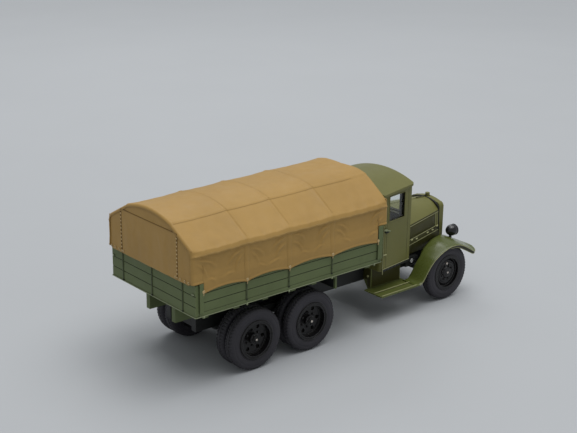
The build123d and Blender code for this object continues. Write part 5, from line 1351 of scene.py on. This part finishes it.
@dataclass
class Cab:
    """Fittings on the cab: door furniture, window beads and the seat."""

    rear: float = 98.5
    front: float = 117.6
    rear_half: float = 20.0
    front_half: float = 17.2
    window: tuple[float, float, float, float] = (102.6, 113.0, 41.8, 52.6)
    screen_half: float = 14.0
    door_rear: float = 101.3
    handle_z: float = 38.4
    hinge_z: float = 28.2
    sill_z: float = 22.0
    taper: float = 8.34
    post_ring: Triple = (90.0, -27.32, 37.4)
    seat_front: float = 107.6
    seat_base: float = 22.3
    seat_z: float = 31.0
    seat_back_z: float = 43.4
    seat_half: float = 14.8
    pleats: int = 9

    def wall(self, x: float) -> float:
        """Return the half width of the cab at x."""
        share = (x - self.rear) / (self.front - self.rear)
        return self.rear_half + share * (self.front_half - self.rear_half)

    def build(self) -> None:
        """Build everything on the cab."""
        self._beads()
        self._doors()
        self._wiper()
        self._seat()

    def _beads(self) -> None:
        """Build the beads round the door windows and the windscreen's frame."""
        piece = Piece("window_beads")
        x0, x1, z0, z1 = self.window
        corners = [(x0, z0), (x1, z0), (x1, z1), (x0, z1), (x0, z0)]
        piece.tube([at(x, -self.wall(x) - 0.02, z) for x, z in corners], 0.2, sides=6)
        piece.both_sides()
        screen = [(-self.screen_half, z0), (self.screen_half, z0), (self.screen_half, z1), (-self.screen_half, z1),
                  (-self.screen_half, z0)]
        piece.tube([at(self.front + 0.02, y, z) for y, z in screen], 0.26, sides=6)
        piece.place(Body.TRUCK, Slot.CAB, Finishes.CAB)
        jambs = Piece("window_jambs")
        jambs.box(at(x1 + 0.1, -self.wall(x1) + 2.0, (z0 + z1) / 2), (0.5, 2.4, z1 - z0 - 0.2), 0.1)
        jambs.both_sides()
        jambs.place(Body.TRUCK, Slot.SEAT, Finishes.CHASSIS)

    def _doors(self) -> None:
        """Build the handle, the hinge and the trim of each door, and the shade round them."""
        x = self.door_rear - 0.9
        y = -self.wall(x)
        low = [self.rear + 0.9 + k * (self.front - self.rear - 1.0) / 8 for k in range(9)]
        self._handles(x, y)
        self._furniture(x, y, low)
        self._shade(x, y, low)

    def _handles(self, x: float, y: float) -> None:
        """Build the door handles, painted lighter as their highlights.

        Args:
            x: Place of the handle along the truck.
            y: Face of the door there.
        """
        piece = Piece("door_handles")
        piece.ball(at(x, y - 0.35, self.handle_z + 0.5), (1.0, 0.6, 0.5), segments=14)
        piece.tube([at(x + 0.3, y - 0.7, self.handle_z + 0.4), at(x + 1.3, y - 0.8, self.handle_z + 0.2),
                    at(x + 2.2, y - 0.6, self.handle_z - 0.1)], 0.26)
        piece.both_sides()
        piece.place(Body.TRUCK, Slot.CAB, Finishes.SAGE_HIGHLIGHT)

    def _furniture(self, x: float, y: float, low: list[float]) -> None:
        """Build the hinges, the doors' trim lines and the ring on the bed's front post, all painted light as
        highlights.

        Args:
            x: Place of the hinge along the truck.
            y: Face of the door there.
            low: Places along the door's foot.
        """
        piece = Piece("door_furniture")
        piece.rod(at(x, y - 0.15, self.hinge_z), (1.0, 0.0, 0.0), 0.32, 1.9, 12, 0.1)
        piece.ring(at(*self.post_ring), (0.0, 1.0, 0.0), 0.7, 0.18, 20, 6)
        piece.tube([at(a, -self.wall(a) - 0.05, self.sill_z) for a in low], 0.13, sides=6)
        corner = -self.wall(self.rear) - 0.02
        piece.tube([at(self.rear + 0.8, corner, 19.9), at(self.rear + 0.7, corner, 41.0)], 0.13, sides=6)
        piece.both_sides()
        piece.place(Body.TRUCK, Slot.CAB, Finishes.TRIM_HIGHLIGHT)

    def _shade(self, x: float, y: float, low: list[float]) -> None:
        """Build the dark line under each door and the dark seat of its handle.

        Args:
            x: Place of the handle along the truck.
            y: Face of the door there.
            low: Places along the door's foot.
        """
        piece = Piece("sill_shade")
        taper = Matrix.Rotation(math.radians(self.taper), 4, "Z")
        for a, b in zip(low, low[1:]):
            middle = (a + b) / 2
            piece.box(at(middle, -self.wall(middle) + 0.02, 21.4), (b - a + 0.02, 0.24, 1.0), 0.03, taper)
        piece.box(at(x + 0.9, y - 0.25, self.handle_z - 0.5), (1.9, 0.5, 0.6), 0.15)
        piece.both_sides()
        piece.place(Body.TRUCK, Slot.CHASSIS, Finishes.CHASSIS)

    def _wiper(self) -> None:
        """Build the wiper in front of the driver."""
        piece = Piece("wiper")
        x = self.front + 0.35
        piece.rod(at(x - 0.1, 7.0, 52.4), (1.0, 0.0, 0.0), 0.35, 0.6, 12, 0.08)
        piece.tube([at(x + 0.1, 7.0, 52.4), at(x, 8.6, 49.2), at(x, 9.4, 45.6)], 0.14, sides=6)
        piece.tube([at(x, 8.9, 48.6), at(x, 9.8, 43.6)], 0.18, sides=6)
        piece.place(Body.TRUCK, Slot.CHASSIS, Finishes.CHASSIS)

    def _seat(self) -> None:
        """Build the moulded bench with its pleats, in the seat's place."""
        piece = Piece("bench")
        rear = self.rear + 1.5
        depth = self.seat_front - rear
        piece.box(at(rear + depth / 2, 0.0, (self.seat_base + self.seat_z - 2.4) / 2),
                  (depth - 0.6, 2 * self.seat_half, self.seat_z - 2.4 - self.seat_base), 0.4)
        width = 2 * self.seat_half / self.pleats
        tall, middle = self.seat_back_z - self.seat_z, (self.seat_z + self.seat_back_z) / 2
        for k in range(self.pleats):
            y = -self.seat_half + (k + 0.5) * width
            piece.box(at(rear + depth / 2 + 0.4, y, self.seat_z - 1.3), (depth - 0.8, width, 2.6), 0.55)
            piece.box(at(rear + 1.2, y, middle), (2.2, width, tall), 0.55)
        piece.place(Body.TRUCK, Slot.SEAT, Finishes.SEAT, ("seat",))


@dataclass
class Bonnet:
    """Pressed panels and catches on the bonnet, and its joint with the radiator; the panels' dark colour is painted
    shade.
    """

    rear: float = 117.62
    front: float = 144.6
    base: Pair = (16.0, 8.7)
    crease: Pair = (15.2, 8.3)
    base_z: float = 27.0
    crease_z: Pair = (35.5, 36.0)
    crest_z: Pair = (41.2, 39.9)
    joint_foot: float = 22.0
    panels: tuple[tuple[Pair, Pair], ...] = (
        ((0.03, 0.87), (0.28, 0.88)), ((0.005, 0.985), (0.02, 0.23)), ((0.005, 0.985), (0.935, 0.99)),
    )
    catches: tuple[Pair, ...] = ((0.12, 0.22), (0.27, 0.15), (0.62, 0.15), (0.78, 0.15), (0.93, 0.22))

    def side(self, share: float, height: float, proud: float = 0.0) -> Vector:
        """Find a point on the bonnet's right side.

        Args:
            share: 0 at the cab, 1 at the radiator.
            height: 0 at the base, 1 at the crease.
            proud: How far it stands off the side.

        Returns:
            The point in the part's frame.
        """
        x = self.rear + share * (self.front - self.rear)
        low = self.base[0] + share * (self.base[1] - self.base[0])
        high = self.crease[0] + share * (self.crease[1] - self.crease[0])
        top = self.crease_z[0] + share * (self.crease_z[1] - self.crease_z[0])
        return at(x, -(low + height * (high - low)) - proud, self.base_z + height * (top - self.base_z))

    def build(self) -> None:
        """Build the panels, beads, catches, hinge and joint."""
        self._panels()
        self._beads()
        self._hinge()

    def _panels(self) -> None:
        """Build the pressed side panels as dark sheets, which paint the shade on the bonnet's sides."""
        piece = Piece("bonnet_panels")
        for share, height in self.panels:
            made = bmesh.ops.create_grid(piece.bm, x_segments=12, y_segments=4, size=0.5)["verts"]
            for vert in made:
                vert.co = self.side(share[0] + (share[1] - share[0]) * (vert.co.x + 0.5),
                                    height[0] + (height[1] - height[0]) * (vert.co.y + 0.5), 0.08)
        piece.both_sides()
        bmesh.ops.recalc_face_normals(piece.bm, faces=piece.bm.faces)
        for face in piece.bm.faces:
            if face.normal.y * face.calc_center_median().y < 0.0:
                face.normal_flip()
        piece.place(Body.TRUCK, Slot.CAB, Finishes.SHADE, wall=0.2)

    def _beads(self) -> None:
        """Build the beads round the panels and the catches that hold them, painted light as highlights."""
        piece = Piece("bonnet_beads")
        steps = [k / 12 for k in range(13)]
        for height in (0.0, 0.25, 0.91):
            piece.tube([self.side(0.01 + 0.97 * s, height, 0.08) for s in steps], 0.125, sides=6)
        for share in (0.885, 0.95):
            piece.tube([self.side(share, 0.25 + 0.66 * s, 0.1) for s in steps], 0.12, sides=6)
        for share, height in self.catches:
            ahead = self.side(share + 0.02, height, 0.25)
            behind = self.side(share - 0.02, height, 0.25)
            piece.tube([behind, ahead], 0.3, sides=8)
            piece.ball(ahead, (0.36, 0.34, 0.36), segments=10)
        piece.both_sides()
        top = Probe("bonnet").hit(at(120.6, -10.2, 60.0), (0.0, 0.0, -1.0))
        if top is not None:
            piece.ball(top, (0.4, 0.4, 0.3), segments=10)
        piece.place(Body.TRUCK, Slot.CAB, Finishes.TRIM_HIGHLIGHT)

    def _hinge(self) -> None:
        """Build the hinge down the middle, the dark rod on it and the dark joint at the radiator."""
        crest = Piece("bonnet_hinge")
        back, ahead = (z + 0.02 for z in self.crest_z)
        crest.tube([at(self.rear + 0.4, 0.0, back), at(self.front - 0.3, 0.0, ahead)], 0.24)
        crest.place(Body.TRUCK, Slot.CAB, Finishes.CAB)
        piece = Piece("bonnet_joint")
        piece.tube([at(138.6, 0.0, 40.6), at(144.9, 0.0, 40.5)], 0.17)
        top = [(self.crease[1] * math.sin(t), self.crease_z[1] + (self.crest_z[1] - self.crease_z[1]) * math.cos(t))
               for t in np.linspace(math.pi / 2, -math.pi / 2, 25)]
        half, foot = self.base[1], self.joint_foot
        path = [(half, foot), (half, self.base_z), *top, (-half, self.base_z), (-half, foot)]
        piece.tube([at(self.front - 0.1, y * 1.006, z + 0.02) for y, z in path], 0.34, sides=6)
        piece.place(Body.TRUCK, Slot.CHASSIS, Finishes.CHASSIS)


@dataclass
class Fenders:
    """Both front fenders in the place of the plain ones, with turned-down edges, and the lamps' rims and feet."""

    outer: float = 23.95
    tip: float = 155.1
    tip_round: float = 4.5
    edge_round: float = 0.4
    lean: float = 0.55
    lip: tuple[Pair, ...] = (
        (115.4, 12.15), (117.6, 11.95), (119.1, 12.3), (120.2, 13.4), (121.5, 15.2), (123.8, 18.3), (126.7, 21.0),
        (130.2, 23.0), (133.7, 24.35), (136.8, 25.0), (140.5, 25.05), (143.2, 24.3), (146.0, 22.95), (148.9, 21.25),
        (152.0, 19.3), (155.1, 17.5),
    )
    inner: tuple[Pair, ...] = ((116.0, 16.2), (126.0, 15.9), (130.4, 14.5), (134.6, 13.5), (138.7, 12.9), (143.0, 11.2),
                               (146.5, 9.95), (150.6, 9.85))
    crown: tuple[Pair, ...] = ((116.0, 0.45), (120.0, 0.5), (126.0, 0.65), (134.0, 0.8), (141.0, 1.1), (146.0, 1.7),
                               (149.0, 2.1), (152.0, 2.6), (155.2, 2.9))
    hang: tuple[Pair, ...] = ((115.4, 0.4), (119.0, 0.75), (130.0, 1.1), (141.0, 1.6), (146.0, 1.8), (150.0, 1.6),
                              (155.2, 1.3))
    bonnet_half: tuple[Pair, ...] = ((117.62, 16.0), (144.6, 8.7), (147.2, 8.7))
    lamp: Triple = (148.0, 12.8, 26.79)
    lamp_radius: float = 2.35
    lamp_half: float = 2.6
    steps: int = 132

    def build(self) -> None:
        """Build the fenders, their edges and what belongs to the lamps."""
        self._rail()
        skin = Piece("front_fenders")
        self._skin(skin, (0.0, 0.93), 44, 1.0, (0.0, 0.0, 1.0))
        skin.both_sides()
        skin.place(Body.TRUCK, Slot.CAB, Finishes.FENDER, ("fender_left", "fender_right"), crease=50.0, wall=0.45)
        # The flange's near-black olive paints the shade under the fender's edge.
        flange = Piece("fender_flanges")
        self._skin(flange, (0.925, 1.0), 4, 0.97, (0.0, -1.0, 0.0))
        flange.both_sides()
        flange.place(Body.TRUCK, Slot.CAB, Finishes.FLANGE_SHADE, crease=50.0, wall=0.3)
        self._beads()
        self._lamps()

    def _rail(self) -> None:
        """Draw the smooth line of the lip from its measured points."""
        keys = np.array(self.lip)
        run = np.concatenate([[0.0], np.cumsum(np.hypot(*np.diff(keys, axis=0).T))])
        self.run = np.linspace(0.0, run[-1], 600)
        raw = np.stack([np.interp(self.run, run, keys[:, i]) for i in (0, 1)])
        reach = 24
        kernel = np.hanning(2 * reach + 3)[1:-1]
        before = 2 * raw[:, :1] - raw[:, reach:0:-1]
        after = 2 * raw[:, -1:] - raw[:, -2:-reach - 2:-1]
        padded = np.concatenate([before, raw, after], axis=1)
        self.rail = np.stack([np.convolve(line, kernel / kernel.sum(), "valid") for line in padded])
        slope = np.gradient(self.rail, axis=1)
        up = np.stack([-slope[1], slope[0]]) / np.hypot(*slope)
        straight = np.clip((self.rail[0] - 128.0) / 9.0, 0.0, 1.0)
        up = up * (1.0 - straight) + np.array([[0.0], [1.0]]) * straight
        self.up = up / np.hypot(*up)

    def points(self, u: np.ndarray, v: np.ndarray) -> np.ndarray:
        """Find points on the right fender.

        Args:
            u: 0 at the foot, 1 under the front edge.
            v: 0 at the inner edge, 1 under the outer edge.

        Returns:
            Rows of x, y and z in the tailgate's frame.
        """
        run = np.interp(u, [0.0, 0.97, 1.0], [0.0, self.run[-1], self.run[-1]])
        x, z = (np.interp(run, self.run, line) for line in self.rail)
        ux, uz = (np.interp(run, self.run, line) for line in self.up)
        x = np.minimum(x, self.tip)
        bow = np.sqrt(np.clip(self.tip_round ** 2 - np.clip(x - self.tip + self.tip_round, 0.0, None) ** 2, 0.0, None))
        inner = np.interp(x, *zip(*self.inner)) + self.tip_round - bow
        outer = self.outer - self.tip_round + bow
        crown, hang = np.interp(x, *zip(*self.crown)), np.interp(x, *zip(*self.hang))
        skirt = np.interp(x, [126.5, 129.5, 145.5, 147.5], [0.0, 1.0, 1.0, 0.0])
        inward = 0.2 + skirt * np.clip(inner - np.interp(x, *zip(*self.bonnet_half)), 0.0, 4.0)
        under = np.clip((0.12 - v) / 0.12, 0.0, 1.0)
        top = np.clip((v - 0.12) / 0.74, 0.0, 1.0)
        bend = np.clip((v - 0.86) / 0.07, 0.0, 1.0) * math.pi / 2
        fall = np.clip((v - 0.93) / 0.07, 0.0, 1.0)
        y = inner + top * (outer - self.edge_round - inner) - under * inward + self.edge_round * np.sin(bend)
        share = np.clip((y - inner) / (self.outer - np.interp(x, *zip(*self.inner))), 0.0, 1.0)
        lift = crown * (1.0 - share ** 2.2) - self.edge_round * (1.0 - np.cos(bend))
        lift = lift - fall * (hang - self.edge_round) - under ** 1.2 * (0.4 + 1.6 * skirt)
        lift = lift - 0.25 * np.exp(-(top / 0.03) ** 2) - np.clip((u - 0.97) / 0.03, 0.0, 1.0) * hang * (1.0 - fall)
        y = y - fall * self.lean * hang * np.sqrt(np.clip((self.tip - x) / 5.0, 0.0, 1.0))
        return np.stack([x + ux * lift, -y, z + uz * lift], axis=1)

    def _skin(self, piece: Piece, across: Pair, rows: int, end: float, outwards: Triple) -> None:
        """Build part of the right fender's skin.

        Args:
            piece: The piece that it becomes part of.
            across: Where it begins and ends across the fender.
            rows: Faces across it.
            end: Where it ends along the fender.
            outwards: The way that its highest face looks.
        """
        bmesh.ops.create_grid(piece.bm, x_segments=self.steps, y_segments=rows, size=0.5)
        flat = np.array([vert.co[:] for vert in piece.bm.verts])
        v = across[0] + (flat[:, 1] + 0.5) * (across[1] - across[0])
        for vert, place in zip(piece.bm.verts, self.points((flat[:, 0] + 0.5) * end, v)):
            vert.co = at(*place)
        bmesh.ops.recalc_face_normals(piece.bm, faces=piece.bm.faces)
        highest = max(piece.bm.faces, key=lambda face: face.calc_center_median().z)
        piece.bm.normal_update()
        if highest.normal.dot(Vector(outwards)) < 0.0:
            bmesh.ops.reverse_faces(piece.bm, faces=piece.bm.faces)

    def _beads(self) -> None:
        """Build the bead along the lip and the one under the nose, painted light as highlights."""
        piece = Piece("fender_beads")
        u = np.linspace(0.05, 0.965, 110)
        piece.tube([at(*place) for place in self.points(u, np.full(u.shape, 0.915))], 0.12, sides=6)
        u = np.linspace(0.56, 0.955, 60)
        piece.tube([at(*place) for place in self.points(u, np.full(u.shape, 1.0))], 0.17, sides=6)
        piece.both_sides()
        piece.place(Body.TRUCK, Slot.CAB, Finishes.TRIM_HIGHLIGHT)

    def _lamps(self) -> None:
        """Build the rim round each lamp's lens and the foot under its stem."""
        piece = Piece("lamp_rims")
        x, y, z = self.lamp
        piece.ring(at(x + self.lamp_half - 0.25, -y, z), (1.0, 0.0, 0.0), self.lamp_radius - 0.05, 0.22, 40, 8)
        piece.rod(at(x, -y, z - self.lamp_radius - 0.9), (0.0, 0.0, 1.0), 0.9, 2.6, 20, 0.2, 0.55)
        piece.both_sides()
        piece.place(Body.TRUCK, Slot.LAMP, Finishes.LAMP)


@dataclass
class Chassis:
    """Small fittings under the truck and on the steps."""

    boss: Triple = (123.3, 13.5, 18.6)
    hanger: Triple = (149.0, 13.1, 18.6)
    gusset: Triple = (98.4, 12.6, 17.2)
    board: Pair = (95.7, 116.2)
    board_z: float = 12.4
    board_lines: tuple[float, ...] = (19.5, 23.7)
    apron: tuple[Pair, ...] = ((116.1, 12.6), (114.9, 15.3), (114.6, 19.0))
    apron_y: float = 13.95
    mud_board_x: float = 68.78
    shade_plates: tuple[tuple[Triple, Triple], ...] = (
        ((107.2, -14.24, 16.6), (16.2, 0.16, 8.0)),
        ((98.46, -13.2, 16.6), (0.16, 1.9, 8.0)),
        ((98.46, -11.0, 18.1), (0.16, 2.6, 5.2)),
    )

    def build(self) -> None:
        """Build the spring pins, the plates behind them, the painted shade on the steps and the mud boards' backs, and
        the steps' beads.
        """
        self._pins()
        self._plates()
        self._mud_boards()
        self._beads()

    def _pins(self) -> None:
        """Build the bright spring pins and the dark blocks that they sit in."""
        pins = Piece("spring_pins")
        x, y, z = self.hanger
        boss_x, boss_y, boss_z = self.boss
        pins.rod(at(boss_x, -boss_y - 0.1, boss_z), (0.25, 1.0, 0.0), 0.95, 0.8, 24, 0.25)
        pins.rod(at(x, -y - 0.35, z), (0.0, 1.0, 0.0), 0.7, 0.9, 20, 0.2)
        pins.both_sides()
        pins.place(Body.TRUCK, Slot.STEEL, Finishes.STEEL)
        blocks = Piece("hanger_plates")
        blocks.box(at(boss_x - 0.6, -boss_y + 1.9, boss_z - 0.2), (5.6, 3.6, 4.4), 0.3)
        blocks.both_sides()
        blocks.place(Body.TRUCK, Slot.CHASSIS, Finishes.CHASSIS)

    def _plates(self) -> None:
        """Build the shaded faces of each step's apron and gusset."""
        piece = Piece("shade_plates")
        for centre, size in self.shade_plates:
            piece.box(at(*centre), size, 0.04)
        piece.both_sides()
        piece.place(Body.TRUCK, Slot.CAB, Finishes.SHADE)

    def _mud_boards(self) -> None:
        """Build a dark sheet on the back of the mud boards, painted shade."""
        piece = Piece("mud_board_shade")
        piece.box(at(self.mud_board_x, 0.0, 26.2), (0.2, 47.2, 6.5), 0.05)
        piece.place(Body.TRUCK, Slot.CHASSIS, Finishes.CHASSIS)

    def _beads(self) -> None:
        """Build the beads on each step and the knob on its gusset, painted light as highlights."""
        piece = Piece("step_beads")
        for line in self.board_lines:
            piece.tube([at(x, -line, self.board_z) for x in self.board], 0.16, sides=6)
        piece.tube([at(x, -self.apron_y, z) for x, z in self.apron], 0.22, sides=6)
        x, y, z = self.gusset
        piece.ball(at(x, -y, z), (0.5, 0.55, 0.55), segments=12)
        piece.both_sides()
        piece.place(Body.TRUCK, Slot.CAB, Finishes.TRIM_HIGHLIGHT)


@dataclass(frozen=True)
class Softbox:
    """One soft lamp: its two sides and its place in metres, its power in watts."""

    name: str
    size: Pair
    power: float
    place: Triple


@dataclass
class Studio:
    """Pale ground, soft light and the camera."""

    ground: Colour = (0.445, 0.46, 0.475)
    ground_half: float = 6.0
    sky: Colour = (0.40, 0.412, 0.425)
    lens: float = 72.42
    azimuth: float = -40.394
    elevation: float = 18.504
    distance: float = 462.33
    roll: float = 0.69
    target: Triple = (-11.56, 0.0, 46.93)
    key_power: float = 1.62
    key_angle: float = 64.0
    key_place: Triple = (0.14, -0.10, 1.0)
    softboxes: tuple[Softbox, ...] = (
        Softbox("softbox", (0.30, 0.20), 0.6, (0.10, -0.10, 0.70)),
        Softbox("far_softbox", (0.36, 0.26), 0.8, (0.31, 0.55, 0.63)),
    )

    def build(self) -> None:
        """Set up the whole studio."""
        self._floor()
        self._light()
        self._camera()
        bpy.context.scene.view_settings.view_transform = "Standard"
        LOG.info("studio ready")

    def _floor(self) -> None:
        """Lay the ground."""
        mesh = bpy.data.meshes.new("ground")
        bm = bmesh.new()
        bmesh.ops.create_grid(bm, x_segments=2, y_segments=2, size=self.ground_half,
                              matrix=Matrix.Translation((0.0, 0.0, -0.00002)))
        bm.to_mesh(mesh)
        bm.free()
        ground = bpy.data.objects.new("ground", mesh)
        bpy.context.scene.collection.objects.link(ground)
        made = bpy.data.materials.new("pale_ground")
        made.use_nodes = True
        made.node_tree.nodes.clear()
        sheet = NodeSheet(made.node_tree)
        tone = sheet.group(ShaderShelf.tone(), {"Colour": (*self.ground, 1.0), "Scale": 2.0, "Amount": 0.03})
        shader = sheet.node("ShaderNodeBsdfPrincipled", {"Base Color": tone.outputs[0]})
        shader.inputs["Roughness"].default_value = 0.9
        shader.inputs["Specular IOR Level"].default_value = 0.1
        sheet.node("ShaderNodeOutputMaterial", {"Surface": shader.outputs[0]})
        mesh.materials.append(made)

    def _light(self) -> None:
        """Hang the lamps and fill the room with even light."""
        world = bpy.data.worlds.new("room")
        world.use_nodes = True
        fill = world.node_tree.nodes["Background"]
        fill.inputs["Color"].default_value = (*self.sky, 1.0)
        fill.inputs["Strength"].default_value = 1.0
        bpy.context.scene.world = world
        key = bpy.data.lights.new("key", "SUN")
        key.energy = self.key_power
        key.angle = math.radians(self.key_angle)
        self._hang(key, Vector(self.key_place))
        for box in self.softboxes:
            lamp = bpy.data.lights.new(box.name, "AREA")
            lamp.shape = "RECTANGLE"
            lamp.size, lamp.size_y = box.size
            lamp.energy = box.power
            self._hang(lamp, Vector(box.place))

    def _hang(self, lamp: bpy.types.Light, place: Vector) -> None:
        """Hang one lamp so that it shines at the truck.

        Args:
            lamp: The lamp.
            place: Where it hangs, in metres.
        """
        made = bpy.data.objects.new(lamp.name, lamp)
        made.location = place
        made.rotation_mode = "QUATERNION"
        made.rotation_quaternion = (Vector((0.0, 0.0, 0.03)) - place).to_track_quat("-Z", "Y")
        bpy.context.scene.collection.objects.link(made)

    def _camera(self) -> None:
        """Stand the camera where the photo was taken."""
        a, e = math.radians(self.azimuth), math.radians(self.elevation)
        back = Vector((math.sin(a) * math.cos(e), -math.cos(a) * math.cos(e), math.sin(e)))
        data = bpy.data.cameras.new("camera")
        data.lens = self.lens
        data.sensor_width = 36.0
        data.sensor_fit = "HORIZONTAL"
        data.clip_start, data.clip_end = 0.01, 50.0
        made = bpy.data.objects.new("camera", data)
        made.location = (Vector(self.target) + back * self.distance) * MM
        made.rotation_mode = "QUATERNION"
        lean = Quaternion((0.0, 0.0, 1.0), math.radians(self.roll))
        made.rotation_quaternion = (-back).to_track_quat("-Z", "Y") @ lean
        bpy.context.scene.collection.objects.link(made)
        bpy.context.scene.camera = made


def main() -> None:
    """Dress the truck and set up the studio."""
    logging.basicConfig(level=logging.INFO, format="%(message)s")
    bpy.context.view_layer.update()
    CadFinishes().dress()
    Tilt().build()
    LoadBed().build()
    axles = (Axle("front", Body.FRONT, 137.5, (22.0,), 8, True),
             Axle("middle", Body.MIDDLE, 56.9, (24.75, 19.25), 6),
             Axle("rear", Body.REAR, 29.5, (24.75, 19.25), 6))
    for axle in axles:
        axle.build()
    Cab().build()
    Bonnet().build()
    Fenders().build()
    Chassis().build()
    Studio().build()


if __name__ == "__main__":
    main()
